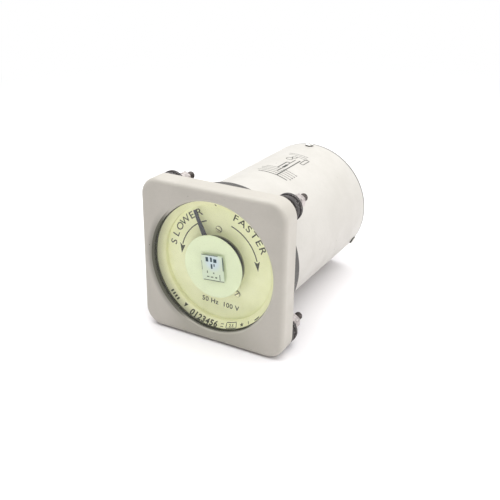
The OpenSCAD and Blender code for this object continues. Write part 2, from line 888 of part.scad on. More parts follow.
// Bobbin of the axial coil, round the iron sleeve
module axial_bobbin() {
    color([0.25, 0.14, 0.08])
        difference() {
            union() {
                rod(axial_coil_r + 0.5, axial_y - flange_t, axial_y);
                rod(core_r + bobbin_gap + bobbin_wall, axial_y, axial_back_y);
                rod(axial_coil_r + 0.5, axial_back_y, axial_back_y + flange_t);
            }
            rod(core_r + bobbin_gap, axial_y - 2 * flange_t, axial_back_y + 2 * flange_t);
        }
}

// Winding of the axial coil
module axial_coil() {
    color([0.62, 0.32, 0.14])
        ring(axial_coil_r, core_r + bobbin_gap + bobbin_wall, axial_y, axial_back_y);
}

// Clamp band round the axial coil, with two arms out to the stator ring
module coil_clamp() {
    color([0.55, 0.55, 0.52])
        difference() {
            union() {
                rod(axial_coil_r + clamp_t, stator_mid_y - clamp_w / 2, stator_mid_y + clamp_w / 2);
                for (a = [30, 210])
                    rotate([0, a, 0])
                        translate([-clamp_arm_w / 2, stator_mid_y - clamp_arm_w / 2, axial_coil_r])
                            cube([clamp_arm_w, clamp_arm_w, stator_inner_r - axial_coil_r - 0.2]);
            }
            rod(axial_coil_r, stator_mid_y - clamp_w, stator_mid_y + clamp_w);
        }
}

// Plate that holds the rear bearing
module bearing_plate() {
    color([0.62, 0.62, 0.6])
        difference() {
            rod(board_r, bearing_plate_y, bearing_back_y);
            rod(jewel_screw_r + hole_gap, bearing_plate_y - 1, bearing_back_y + 1);
            on_rods()
                rod(rod_r + hole_gap, bearing_plate_y - 1, bearing_back_y + 1);
        }
}

// Bearing screw with the conical cup for the rear pivot
module jewel_screw() {
    color([0.75, 0.6, 0.3])
        difference() {
            rod(jewel_screw_r, bearing_plate_y - 2.6, bearing_back_y + 2 * jewel_nut_h);
            taper(1.4, 0.2, bearing_plate_y - 2.6, bearing_plate_y - 1);
            translate([-jewel_screw_r - 1, bearing_back_y + 2 * jewel_nut_h - 1, -0.3])
                cube([2 * jewel_screw_r + 2, 2, 0.6]);
        }
}

// Nut that locks the bearing screw
module jewel_locknut() {
    color([0.7, 0.58, 0.3])
        difference() {
            hex(jewel_nut_af, bearing_back_y, bearing_back_y + jewel_nut_h);
            rod(jewel_screw_r + hole_gap, bearing_back_y - 1, bearing_back_y + jewel_nut_h + 1);
        }
}

// Four tie rods from the front plate to the rear dish
module tie_rods() {
    color([0.72, 0.72, 0.72])
        on_rods()
            rod(rod_r, plate_y, rear_plate_back_y + 1.25 * small_nut_h);
}

// Spacer tubes on the tie rods
module rod_spacers() {
    color([0.66, 0.66, 0.64])
        on_rods() {
            ring(spacer_r, rod_r + hole_gap, plate_back_y, stator_y);
            ring(spacer_r, rod_r + hole_gap, stator_back_y, bearing_plate_y);
            ring(spacer_r, rod_r + hole_gap, bearing_back_y, board_y);
            ring(spacer_r, rod_r + hole_gap, board_back_y, rear_plate_y);
        }
}

// Nuts on the ends of the tie rods
module rod_nuts() {
    color([0.75, 0.75, 0.73])
        on_rods()
            difference() {
                hex(small_nut_af, rear_plate_back_y, rear_plate_back_y + small_nut_h);
                rod(rod_r + hole_gap, rear_plate_y, rear_plate_back_y + 2 * small_nut_h);
            }
}

// Insulating board that carries the resistors, the capacitor and the choke
module component_board() {
    color([0.45, 0.28, 0.14])
        difference() {
            rod(board_r, board_y, board_back_y);
            on_rods()
                rod(rod_r + hole_gap, board_y - 1, board_back_y + 1);
            for (sx = [-1, 1])
                translate([sx * resistor_x, 0, resistor_z])
                    rod(resistor_bolt_r + hole_gap, board_y - 1, board_back_y + 1);
        }
}

// Two ceramic wire-wound resistors
module resistors() {
    color([0.35, 0.45, 0.35])
        for (sx = [-1, 1])
            translate([sx * resistor_x, 0, resistor_z])
                ring(resistor_r, resistor_bore_r, board_back_y, board_back_y + resistor_len);
}

// Bolts through the resistors
module resistor_bolts() {
    color([0.7, 0.7, 0.7])
        for (sx = [-1, 1])
            translate([sx * resistor_x, 0, resistor_z]) {
                rod(resistor_bolt_r, board_y, board_back_y + resistor_len + 1.5 * small_nut_h);
                rod(1.9 * resistor_bolt_r, board_y - 2, board_y);
            }
}

// Washers and nuts on the resistor bolts
module resistor_nuts() {
    nut_start = board_back_y + resistor_len;
    color([0.75, 0.75, 0.73])
        for (sx = [-1, 1])
            translate([sx * resistor_x, 0, resistor_z])
                difference() {
                    union() {
                        rod(resistor_washer_r, nut_start, nut_start + small_nut_h / 4);
                        hex(0.8 * small_nut_af, nut_start + small_nut_h / 4, nut_start + small_nut_h);
                    }
                    rod(resistor_bolt_r + hole_gap, nut_start - 1, nut_start + small_nut_h + 1);
                }
}

// Phase-shifting capacitor in a round can
module capacitor() {
    color([0.7, 0.71, 0.72])
        translate([0, 0, terminal_ring_r])
            rod(resistor_r, board_back_y, board_back_y + capacitor_len);
}

// Iron core of the choke
module choke_core() {
    color([0.3, 0.31, 0.33])
        translate([-choke_w / 2, board_back_y, -choke_z - choke_h])
            difference() {
                cube([choke_w, choke_h, choke_h]);
                for (z = [choke_leg, choke_h - choke_leg - choke_window])
                    translate([-1, choke_yoke, z])
                        cube([choke_w + 2, choke_h - 2 * choke_yoke, choke_window]);
            }
}

// Winding on the middle leg of the choke
module choke_coil() {
    gap = 2 * coil_gap;
    color([0.6, 0.3, 0.12])
        translate([-choke_w / 2, board_back_y + choke_yoke, -choke_z - choke_h])
            difference() {
                translate([-choke_coil_over, gap, choke_leg + gap])
                    cube([
                        choke_w + 2 * choke_coil_over,
                        choke_h - 2 * choke_yoke - 2 * gap,
                        choke_h - 2 * choke_leg - 2 * gap
                    ]);
                translate([-coil_gap, 0, choke_leg + choke_window - coil_gap])
                    cube([choke_w + gap, choke_h - 2 * choke_yoke, choke_middle + gap]);
            }
}

// Leads from the component board to the terminals
module leads() {
    color([0.65, 0.1, 0.08])
        for (k = [0 : terminal_count - 1])
            at_clock(30 + 360 / terminal_count * k, terminal_ring_r)
                rod(lead_r, board_back_y, terminal_tail_y);
}

// Round terminal board over the opening in the rear dish
module terminal_board() {
    color([0.22, 0.13, 0.08])
        difference() {
            rod(terminal_board_r, rear_plate_back_y, terminal_face_y);
            for (k = [0 : terminal_count - 1])
                at_clock(30 + 360 / terminal_count * k, terminal_ring_r)
                    rod(terminal_r + hole_gap, rear_plate_back_y - 1, terminal_face_y + 1);
            for (a = board_screw_angles)
                at_clock(a, board_screw_radius)
                    rod(board_screw_r + hole_gap, rear_plate_back_y - 1, terminal_face_y + 1);
        }
}

// Three screws that hold the terminal board
module board_screws() {
    color([0.75, 0.75, 0.73])
        for (a = board_screw_angles)
            at_clock(a, board_screw_radius) {
                difference() {
                    rod(1.85 * board_screw_r, terminal_face_y, terminal_face_y + small_nut_h / 2);
                    translate([-2 * board_screw_r - 1, terminal_face_y + small_nut_h / 4, -0.3])
                        cube([4 * board_screw_r + 2, small_nut_h, 0.6]);
                }
                rod(board_screw_r, rear_plate_y, terminal_face_y);
            }
}

// Terminal studs with a collar behind the board
module terminal_studs() {
    color([0.8, 0.65, 0.35])
        for (k = [0 : terminal_count - 1])
            at_clock(30 + 360 / terminal_count * k, terminal_ring_r) {
                rod(terminal_r, terminal_tail_y, terminal_end_y);
                rod(terminal_washer_r, rear_plate_back_y - small_nut_h, rear_plate_back_y);
            }
}

// Washer and nut on each terminal
module terminal_nuts() {
    color([0.8, 0.66, 0.38])
        for (k = [0 : terminal_count - 1])
            at_clock(30 + 360 / terminal_count * k, terminal_ring_r)
                difference() {
                    union() {
                        rod(terminal_washer_r, terminal_face_y, terminal_nut_y);
                        hex(small_nut_af, terminal_nut_y, terminal_nut_back_y);
                    }
                    rod(terminal_r + hole_gap, terminal_face_y - 1, terminal_nut_back_y + 1);
                }
}

// Piece to build

bezel();
window_glass();
window_seal();
centre_disc();
dial_rim();
dial_plate();
dial_screws();
dial_pillars();
case_collar();
collar_grubs();
case_tube();
rear_dish();
rear_screws();
mounting_studs();
stud_buffers();
stud_washers();
stud_nuts();
stud_spring_washers();
stud_locknuts();
spindle();
pointer_hub();
pointer();
tail_weight();
balance_cross();
balance_weights();
armature();
front_plate();
front_bush();
front_jewel();
stator_core();
pole_coils();
axial_bobbin();
axial_coil();
coil_clamp();
bearing_plate();
jewel_screw();
jewel_locknut();
tie_rods();
rod_spacers();
rod_nuts();
component_board();
resistors();
resistor_bolts();
resistor_nuts();
capacitor();
choke_core();
choke_coil();
leads();
terminal_board();
board_screws();
terminal_studs();
terminal_nuts();
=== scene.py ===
"""Square-fronted synchroscope: finishes, print, threads and setting, built round the fixed frame."""

import json
import math

import bmesh
import bpy
from mathutils import Matrix, Vector


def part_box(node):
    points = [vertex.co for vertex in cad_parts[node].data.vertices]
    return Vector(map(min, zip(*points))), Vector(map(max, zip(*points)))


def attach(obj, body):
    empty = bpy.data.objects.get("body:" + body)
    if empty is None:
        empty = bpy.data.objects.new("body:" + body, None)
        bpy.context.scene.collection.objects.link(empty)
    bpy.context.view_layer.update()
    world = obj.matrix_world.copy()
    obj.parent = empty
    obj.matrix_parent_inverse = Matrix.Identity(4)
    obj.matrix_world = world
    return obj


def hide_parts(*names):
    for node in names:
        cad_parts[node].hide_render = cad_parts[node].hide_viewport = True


bl_info = {
    "name": "Synchroscope Maker",
    "version": (1, 0, 0),
    "blender": (4, 5, 0),
    "location": "View3D > Sidebar > Synchroscope",
    "description": "Dresses a square-fronted panel meter: paint, dial print, threads, terminals and setting",
    "category": "Add Mesh",
}

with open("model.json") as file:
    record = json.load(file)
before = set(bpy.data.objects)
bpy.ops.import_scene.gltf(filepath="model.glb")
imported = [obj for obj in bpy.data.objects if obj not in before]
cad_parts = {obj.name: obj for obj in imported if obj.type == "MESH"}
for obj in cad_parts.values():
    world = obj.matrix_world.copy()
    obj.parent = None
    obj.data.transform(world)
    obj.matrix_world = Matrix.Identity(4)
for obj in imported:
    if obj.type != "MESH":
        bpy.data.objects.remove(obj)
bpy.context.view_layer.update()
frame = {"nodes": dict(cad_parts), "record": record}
NODES = frame["nodes"]
MM = 0.001
TURN = 2 * math.pi


def low(node):
    """Lowest corner of a node, in metres."""
    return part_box(node)[0]


def high(node):
    """Highest corner of a node, in metres."""
    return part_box(node)[1]


def ends(node):
    """Where a node starts and ends along the axis, in metres."""
    return low(node).y, high(node).y


def mount_sizes(name):
    """The sizes that the record gives for one mount, in metres."""
    dims = next(m for m in frame["record"]["mounts"] if m["name"] == name)["dims"]
    return {key: value * MM if key.endswith("_mm") else value for key, value in dims.items()}


def paint_value(red, green, blue):
    """A screen colour, 0 to 255 a channel, as the light values that a shader wants."""
    shares = (channel / 255 for channel in (red, green, blue))
    return tuple(s / 12.92 if s <= 0.04045 else ((s + 0.055) / 1.055) ** 2.4 for s in shares)


# Places that several pieces share, read from the frame
FRONT = low("bezel").y
HALF_SIDE = high("bezel").x
GLASS_FRONT = low("window_glass").y
DIAL_FACE = low("dial_plate").y
CASE_RADIUS = high("case_tube").x
CASE_END = high("case_tube").y
BOARD_FACE = high("terminal_board").y
STUD_PLACE = mount_sizes("mounting_studs")["spacing_x_mm"] / 2
DIAL_SCREW_HEAD = 1.88 * MM
TERMINAL_RING = mount_sizes("terminals")["pcd_mm"] / 2
TERMINAL_COUNT = mount_sizes("terminals")["count"]
SMALL_FLATS = 5.5 * MM  # across the flats of the small nuts, on the terminals and the tie rods
NUT_ROOM = 0.05 * MM  # between a thread and its nut
WASHER_ROOM = 0.082 * MM  # between a stud and its washers
PRINT_SUNK = 0.016 * MM  # how far the print on the case reaches into its paint
CAPITAL = 0.72  # height of a capital letter in a font of size 1
TOUCHING = 1e-7  # points closer than this are one point


# ---------------------------------------------------------------- sizes and colours

def number(name, description, default, smallest=0.0, **settings):
    """A number property."""
    return bpy.props.FloatProperty(name=name, description=description, default=default, min=smallest, **settings)


def length(name, description, default, smallest=0.0):
    """A length property, in metres."""
    return number(name, description, default, smallest, subtype="DISTANCE", unit="LENGTH", precision=5)


def watts(name, description, default):
    """A lamp's power."""
    return number(name, description, default, subtype="POWER", unit="POWER")


def angle(name, description, degrees):
    """An angle property, given in degrees."""
    return bpy.props.FloatProperty(
        name=name, description=description, default=math.radians(degrees), subtype="ANGLE", unit="ROTATION",
    )


def colour(name, description, red, green, blue):
    """A colour property, given as a screen colour."""
    return bpy.props.FloatVectorProperty(
        name=name, description=description, default=paint_value(red, green, blue),
        size=3, min=0, max=1, subtype="COLOR",
    )


class DialPrint(bpy.types.PropertyGroup):
    """Sizes of what is printed on the dial, its rim and the case"""

    ink_depth: length("Ink depth", "How far the print stands off the surface", 0.03 * MM)
    arrow_radius: length("Arrow radius", "Radius of the two curved arrows", 26.7 * MM)
    arrow_width: length("Arrow width", "Width of the arrow's line", 0.7 * MM)
    arrow_start: angle("Arrow start", "Where an arrow starts, from the top", 18.5)
    arrow_end: angle("Arrow end", "Where an arrow's tip is, from the top", 89)
    head_length: length("Arrowhead length", "Length of an arrowhead", 6.4 * MM)
    head_width: length("Arrowhead width", "Width of an arrowhead", 3.8 * MM)
    word_radius: length("Word radius", "Radius of the middle of the direction words", 32.9 * MM)
    word_height: length("Word height", "Height of the letters", 4.4 * MM)
    word_weight: length("Word weight", "Extra width on each side of a letter's strokes", 0.05 * MM)
    word_stretch: number("Word stretch", "Width of the letters, 1 as the font draws them", 1.2, 0.5)
    rating_height: length("Rating height", "Height of the figures under the disc", 3.2 * MM)
    rating_drop: length("Rating drop", "How far those figures lie below the axis", 26.9 * MM)
    lip_outer: length("Lip outer edge", "Radius where the bezel's lip meets its front", 42.5 * MM)
    hole_radius: length("Dial hole", "Radius of the hole in the dial", 16.7 * MM)
    dish_edge: length("Dish edge", "Radius of the dished rim at the seal", 40.7 * MM)
    dish_foot: length("Dish foot", "Radius of the dished rim at its foot", 36.9 * MM)
    dish_foot_y: length("Dish foot depth", "Place of the dished rim's foot along the axis", -5.45 * MM, -1)
    line_width: length("Line width", "Width of the diagram's thin lines on the case", 0.4 * MM)


class Hardware(bpy.types.PropertyGroup):
    """Sizes of threads, nuts, screws and the sticker"""

    stud_thread: length("Stud thread", "Outer radius of the studs' thread", 2.5 * MM)
    stud_pitch: length("Stud pitch", "Thread pitch of the mounting studs", 0.8 * MM)
    terminal_pitch: length("Terminal pitch", "Thread pitch of the terminals", 0.5 * MM)
    thread_depth: length("Thread depth", "Depth of a thread, for a pitch of 1 mm", 0.6 * MM)
    edge_round: length("Edge rounding", "Rounding of washers and rubber", 0.29 * MM)
    slot_width: length("Slot width", "Width of a screwdriver slot", 0.65 * MM)
    sticker_width: length("Sticker width", "Width of the sticker on the glass", 15.2 * MM)
    sticker_height: length("Sticker height", "Height of the sticker on the glass", 16.6 * MM)
    sticker_shift: length("Sticker shift", "Middle of the sticker to the right of the axis", 0.7 * MM)
    sticker_tilt: angle("Sticker tilt", "How far the sticker leans to the left", 5)


class Paints(bpy.types.PropertyGroup):
    """Colours of the paints, print and metals"""

    bezel: colour("Bezel enamel", "Warm grey enamel of the bezel", 181, 176.5, 168)
    case: colour("Case enamel", "Enamel of the case", 190, 187, 181)
    dial: colour("Dial", "Cream paint of the dial", 249, 250, 212)
    dish: colour("Dished rim", "Paint of the dished rim", 244, 243, 204)
    disc: colour("Masking disc", "Paint of the disc behind the glass", 230, 239, 206)
    ink: colour("Ink", "Print on the dial", 40, 42, 22)
    case_ink: colour("Case ink", "Print on the case", 44, 46, 42)
    pointer: colour("Pointer", "Paint of the pointer", 24, 28, 46)
    sticker: colour("Sticker", "Paper of the sticker", 206, 219, 194)
    stamp: colour("Stamp", "Blue tint of the sticker's upper half", 200, 215, 220)
    sticker_ink: colour("Sticker ink", "Blue blocks on the sticker", 40, 64, 74)
    sticker_line: colour("Sticker lines", "Worn grey print on the sticker", 84, 96, 76)
    zinc: colour("Zinc", "Zinc plate on nuts and washers", 198, 191, 188)
    brass: colour("Brass", "Turned brass", 206, 172, 106)
    copper: colour("Copper", "Enamelled copper wire", 150, 78, 44)
    floor: colour("Floor", "Pale floor", 238, 236, 237)


class Light(bpy.types.PropertyGroup):
    """Strength of the lamps and the room, and the camera's place"""

    room: number("Room light", "Even light from all round", 0.56)
    key: watts("Key lamp", "Power of the lamp above", 25)
    side: watts("Side lamp", "Power of the lamp at the right", 3.6)
    camera_lens: number(
        "Lens", "Focal length of the camera, in millimetres", 54.45, 10, subtype="DISTANCE_CAMERA", unit="CAMERA",
    )
    camera_distance: length("Camera distance", "Camera to the point it looks at", 441.65 * MM)
    camera_yaw: angle("Camera yaw", "Camera round to the right of the meter's front", 28.99)
    camera_pitch: angle("Camera pitch", "Camera above the meter", 23.86)
    camera_roll: angle("Camera roll", "Camera turned about its own line", 0.833)


def sizes():
    """The print's sizes."""
    return bpy.context.scene.meter_print


def hardware():
    """The hardware's sizes."""
    return bpy.context.scene.meter_hardware


def paints():
    """The colours."""
    return bpy.context.scene.meter_paints


# ---------------------------------------------------------------- shader building

class Value:
    """A number that varies over a surface. Arithmetic on it adds the Math nodes that work it out."""

    def __init__(self, tree, socket):
        self.tree, self.socket = tree, socket

    def maths(self, operation, *values):
        """One Math node on these values."""
        node = self.tree.node("ShaderNodeMath", {"operation": operation}, dict(enumerate(values)))
        return Value(self.tree, node.outputs[0])

    def __add__(self, other):
        return self.maths("ADD", self, other)

    __radd__ = __add__

    def __sub__(self, other):
        return self.maths("SUBTRACT", self, other)

    def __rsub__(self, other):
        return self.maths("SUBTRACT", other, self)

    def __mul__(self, other):
        return self.maths("MULTIPLY", self, other)

    __rmul__ = __mul__

    def __pow__(self, other):
        return self.maths("POWER", self, other)

    def ramp(self, start, end, first=0.0, last=1.0):
        """A smooth step from first to last while this goes from start to end."""
        node = self.tree.node(
            "ShaderNodeMapRange", {"interpolation_type": "SMOOTHSTEP"},
            {"Value": self, "From Min": start, "From Max": end, "To Min": first, "To Max": last},
        )
        return Value(self.tree, node.outputs[0])

    def ridges(self, spacing):
        """An even ripple from 0 to 1 with this spacing."""
        return self.maths("SINE", self * (TURN / spacing)) * 0.5 + 0.5


class ShaderTree:
    """A node tree that is filled one node at a time."""

    def __init__(self, tree):
        self.tree = tree
        tree.nodes.clear()

    def node(self, kind, settings=None, inputs=None):
        """Adds one node: its settings first, then the value or link of each socket."""
        made = self.tree.nodes.new(kind)
        for key, value in (settings or {}).items():
            setattr(made, key, value)
        for key, value in (inputs or {}).items():
            self.feed(made.inputs[key], value)
        return made

    def blend(self, share, first, second):
        """A mix of two shaders."""
        return self.node("ShaderNodeMixShader", None, {0: share, 1: first, 2: second})

    def feed(self, socket, value):
        """Gives a socket a link, or a value of its own. A node stands for its first output."""
        if isinstance(value, Value):
            value = value.socket
        elif isinstance(value, bpy.types.Node):
            value = value.outputs[0]
        if isinstance(value, bpy.types.NodeSocket):
            self.tree.links.new(value, socket)
        elif socket.type == "RGBA" and len(value) == 3:
            socket.default_value = (*value, 1)
        else:
            socket.default_value = value


class Finish(ShaderTree):
    """A material: one principled shader, with patterns worked out from the place on the piece."""

    def __init__(self, name, **constants):
        self.material = bpy.data.materials.new(name)
        self.material.use_nodes = True
        super().__init__(self.material.node_tree)
        self.output = self.node("ShaderNodeOutputMaterial")
        self.shader = self.node("ShaderNodeBsdfPrincipled")
        self.feed(self.output.inputs["Surface"], self.shader)
        self.place = self.node("ShaderNodeTexCoord").outputs["Object"]
        self.set(**constants)

    def set(self, **values):
        """Feeds the shader's sockets, named with underscores."""
        for key, value in values.items():
            self.feed(self.shader.inputs[key.replace("_", " ")], value)
        return self

    def along(self, axis):
        """The place along one axis, in metres."""
        node = self.node("ShaderNodeSeparateXYZ", None, {"Vector": self.place})
        return Value(self, node.outputs[axis])

    def vector(self, operation, *values):
        """One Vector Math node on these values."""
        return self.node("ShaderNodeVectorMath", {"operation": operation}, dict(enumerate(values)))

    def radius(self):
        """Distance from the meter's axis, in metres."""
        across = self.vector("MULTIPLY", self.place, (1, 0, 1))
        return Value(self, self.vector("LENGTH", across).outputs["Value"])

    def towards(self, degrees):
        """The place along the direction at this clock angle on the dial, in metres."""
        turn = math.radians(degrees)
        return self.along(0) * math.sin(turn) + self.along(2) * math.cos(turn)

    def reach(self, point):
        """Distance from a point, in metres."""
        return Value(self, self.vector("DISTANCE", self.place, point).outputs["Value"])

    def noise(self, grain, detail=3.0, rough=0.55, stretch=(1, 1, 1)):
        """Cloudy noise from 0 to 1 with grains of this size in metres."""
        where = self.vector("MULTIPLY", self.place, stretch)
        node = self.node(
            "ShaderNodeTexNoise", None, {"Vector": where, "Scale": 1 / grain, "Detail": detail, "Roughness": rough},
        )
        return Value(self, node.outputs[0])

    def specks(self, spacing, size):
        """Round specks: 1 on a speck and 0 round it. Spacing and size are in metres."""
        node = self.node("ShaderNodeTexVoronoi", None, {"Vector": self.place, "Scale": 1 / spacing})
        edge = size / spacing
        return Value(self, node.outputs["Distance"]).ramp(edge * 0.6, edge, 1, 0)

    def mix(self, share, first, second):
        """A colour between two colours."""
        node = self.node("ShaderNodeMix", {"data_type": "RGBA"}, {0: share, 6: first, 7: second})
        return node.outputs[2]

    def layered(self, tone, layers, rough, height, depth, **others):
        """Lays (share, tone) layers over a tone, and adds roughness and bumps of this depth in metres."""
        for share, layer in layers:
            tone = self.mix(share, tone, layer)
        bump = self.node("ShaderNodeBump", None, {"Strength": 1.0, "Distance": depth, "Height": height})
        self.set(Base_Color=tone, Roughness=rough, Normal=bump, **others)
        return self.material


def shade(tone, factor):
    """A colour made lighter or darker."""
    return tuple(min(1.0, channel * factor) for channel in tone)


def tinted(tone, other, share):
    """A colour moved towards another."""
    return tuple(a + (b - a) * share for a, b in zip(tone, other))


# ---------------------------------------------------------------- finishes

# dark grey for a band at a piece's edge
EDGE_BAND_GREY = (0.12, 0.12, 0.11)
# painted shade on and round the bezel's lip
LIP_SHADE = (0.075, 0.075, 0.052)
# painted shade low in the middle of the bezel's face
FACE_BOTTOM_SHADE = (0.16, 0.16, 0.1)
# painted shade round the dial's hole
HOLE_SHADE = (0.1, 0.1, 0.06)
# painted shade round the dial screws' heads
SCREW_SHADE = (0.14, 0.14, 0.08)
# painted shade on the dished rim, towards the lower left
RIM_SHADE = (0.2, 0.2, 0.13)
# painted shade in screw slots and on the lower sides of screw heads
SLOT_SHADE = (0.03, 0.03, 0.022)
# darker, more olive tone for the bottom of the dial
LOWER_OLIVE = (0.42, 0.45, 0.2)
GLAZE = (0.045, 0.11, 0.07)


def enamel(name, tone, grime, grey_band_from=None, lip=None):
    """Sprayed enamel: mottle, orange peel, specks, a dark grey band from a given place along the axis, and painted
    shade round a lip.
    """
    finish = Finish(name, Specular_IOR_Level=0.42)
    patches = finish.noise(24.5 * MM, 4, 0.6)
    mottle = finish.noise(1.8 * MM, 3, 0.6)
    chips = finish.specks(4.49 * MM, 0.45 * MM) * finish.noise(10.62 * MM, 2).ramp(0.6, 0.64)
    layers = [
        (patches.ramp(0.35, 0.7), tinted(tone, grime, 0.1)),
        (mottle.ramp(0.4, 0.75, 0, 0.35), shade(tone, 0.93)),
        (chips * 0.8, shade(grime, 0.35)),
    ]
    if grey_band_from is not None:
        # a dark grey band from this place along the axis onwards, its edge wandering a little
        edge = finish.along(1) + finish.noise(3 * MM, 3) * (0.5 * MM)
        layers.append((edge.ramp(grey_band_from, grey_band_from + 0.3 * MM, 0, 0.9), EDGE_BAND_GREY))
    # painted shade round the lip and low on the face
    if lip is not None:
        layers += lip_painted_shade(finish, lip)
    peel = finish.noise(0.9 * MM, 2, 0.5)
    return finish.layered(
        shade(tone, 1.02), layers, patches.ramp(0.3, 0.7, 0.38, 0.5) + chips * 0.3,
        peel * 0.7 + patches * 0.3 - chips * 0.8, 0.029 * MM,
    )


def lip_painted_shade(finish, lip):
    """Layers of painted shade: in the corner behind a round lip, on its slope at one side, on the face beside it,
    and low in the middle of the face.
    """
    # All four are painted shade: a fade on the face outside the lip and a dark slope towards the left, the bore
    # behind the lip towards the lower left, and a darker patch low in the middle of the face
    out, side = finish.radius(), finish.towards(260)
    halo = out.ramp(lip, lip + 4.2 * MM, 0.56, 0) * side.ramp(22 * MM, 40 * MM)
    slope = out.ramp(lip - 0.15 * MM, lip, 0.89, 0) * side.ramp(21 * MM, 31 * MM)
    corner = out.ramp(lip - 1.1 * MM, lip - 0.7 * MM, 0.9, 0) * finish.towards(222).ramp(0, 9 * MM)
    bottom_shade = finish.reach((0, FRONT, -HALF_SIDE)).ramp(14 * MM, 40 * MM, 0.3, 0)
    return [(bottom_shade, FACE_BOTTOM_SHADE), *((share, LIP_SHADE) for share in (halo, slope, corner))]


def matt_paint(name, tone, warm, hole=None, rim=None, seats=()):
    """Flat paint on a dial: hardly any gloss, a little cloudiness and dust; painted shade round a hole, round screw
    seats and up a rim; and with a hole, darker and more olive towards the bottom.
    """
    finish = Finish(name, Specular_IOR_Level=0.25)
    cloud = finish.noise(14.7 * MM, 4, 0.6)
    dust = finish.specks(2.12 * MM, 0.18 * MM) * finish.noise(7.35 * MM, 2).ramp(0.55, 0.62)
    layers = [(cloud.ramp(0.3, 0.75), tinted(tone, warm, 0.35)), (dust * 0.45, shade(tone, 0.4))]
    if hole is not None:
        # painted shade: a dark ring just outside the hole, widening the dark gap seen under the disc
        layers.append((finish.radius().ramp(hole + 0.6 * MM, hole + 1.2 * MM, 0.85, 0), HOLE_SHADE))
        # darker and more olive towards the bottom of the dial
        layers.append((finish.towards(180).ramp(14 * MM, 34 * MM, 0, 0.16), LOWER_OLIVE))
    for seat in seats:
        # painted shade: a dark ring round each dial screw's head
        layers.append((finish.reach(seat).ramp(1.9 * MM, 2.5 * MM, 0.75, 0), SCREW_SHADE))
    if rim is not None:
        # painted shade up the dished rim, strongest towards the lower left
        painted_shade = finish.radius().ramp(rim - 4.5 * MM, rim + 0.4 * MM, 0.04, 0.66)
        layers.append((painted_shade * finish.towards(245).ramp(2 * MM, 36 * MM), RIM_SHADE))
    return finish.layered(tone, layers, cloud.ramp(0.3, 0.7, 0.5, 0.62), finish.noise(0.41 * MM, 2), 0.007 * MM)


def printed_ink(name, tone):
    """Ink with slightly uneven cover."""
    finish = Finish(name, Specular_IOR_Level=0.3)
    cover = finish.noise(0.73 * MM, 3, 0.6)
    faded = tinted(tone, (0.3, 0.3, 0.27), 0.3)
    return finish.layered(
        tone, [(cover.ramp(0.45, 0.75), faded)], cover.ramp(0.3, 0.7, 0.45, 0.6), cover, 0.005 * MM,
    )


def plated_metal(name, tone, dull, rough=0.3, grain=4.9 * MM, brushed=(1, 1, 1), painted_shade=None):
    """Bare or plated metal with fine tool marks and dull patches, and painted shade where the given function gives
    a share.
    """
    finish = Finish(name, Metallic=1.0)
    patches = finish.noise(grain, 4, 0.65)
    marks = finish.noise(0.29 * MM, 2, 0.5, brushed)
    layers = [(patches.ramp(0.35, 0.7), dull), (marks.ramp(0.5, 0.8, 0, 0.4), shade(dull, 0.6))]
    # painted shade where the given function gives a share
    if painted_shade is not None:
        layers.append((painted_shade(finish), SLOT_SHADE))
    uneven = patches.ramp(0.3, 0.75, rough, rough + 0.22) + marks * 0.1
    return finish.layered(tone, layers, uneven, marks, 0.008 * MM)


def brass(name, dulled, rough, grain=4.9 * MM):
    """Turned brass, darker by a share where it is dull."""
    return plated_metal(name, paints().brass, shade(paints().brass, dulled), rough, grain)


def zinc(name, dulled=0.6, rough=0.3):
    """Zinc plate, darker by a share where it is dull."""
    return plated_metal(name, paints().zinc, shade(paints().zinc, dulled), rough, 2.45 * MM)


def blackened_steel(name, tone=(0.028, 0.027, 0.026), worn=(0.16, 0.15, 0.135), shine=0.95):
    """Oxide on steel, rubbed brighter in places, and shinier there."""
    finish = Finish(name)
    rub = finish.noise(1.31 * MM, 4, 0.6).ramp(0.55, 0.72)
    return finish.layered(
        tone, [(rub, worn)], rub.ramp(0, 1, 0.5, 0.34), finish.noise(0.33 * MM, 2), 0.008 * MM,
        Metallic=rub.ramp(0, 1, 0.55, shine),
    )


def black_rubber(name, tone, chalk=0.0):
    """Moulded rubber with a grey bloom, and chalky flecks where there is chalk."""
    finish = Finish(name, Specular_IOR_Level=0.35)
    bloom = finish.noise(2.86 * MM, 4, 0.65)
    flecks = finish.specks(1.0 * MM, 0.42 * MM) * finish.noise(0.9 * MM, 2).ramp(0.4, 0.6) * chalk
    layers = [(bloom.ramp(0.4, 0.75), tinted(tone, (0.3, 0.28, 0.26), 0.2)), (flecks, (0.42, 0.39, 0.37))]
    return finish.layered(tone, layers, bloom.ramp(0.3, 0.7, 0.55, 0.8), finish.noise(0.49 * MM, 3), 0.024 * MM)


def stacked_iron(name):
    """Soft iron stampings, stacked along the axis, with oil and rust in the joints."""
    finish = Finish(name, Metallic=0.85)
    joints = finish.along(1).ridges(0.41 * MM).ramp(0.0, 0.35, 1, 0)
    rust = finish.noise(4.08 * MM, 4, 0.65).ramp(0.55, 0.75)
    layers = [(joints, (0.07, 0.065, 0.06)), (rust * 0.6, (0.17, 0.085, 0.045))]
    return finish.layered((0.3, 0.3, 0.31), layers, rust.ramp(0, 1, 0.4, 0.7), 1 - joints, 0.041 * MM)


def wound_copper(name, radial):
    """Rows of enamelled wire, side by side along the axis or outwards from it."""
    finish = Finish(name, Coat_Weight=0.5, Coat_Roughness=0.15)
    wires = (finish.radius() if radial else finish.along(1)).ridges(0.45 * MM)
    drift = finish.noise(3.27 * MM, 3, 0.6)
    tone = paints().copper
    layers = [(wires.ramp(0.05, 0.6), tone), (drift.ramp(0.4, 0.7, 0, 0.5), shade(tone, 0.55))]
    return finish.layered(
        shade(tone, 0.3), layers, drift.ramp(0.3, 0.7, 0.28, 0.42), wires, 0.131 * MM,
        Metallic=wires.ramp(0, 0.5, 0.2, 0.75),
    )


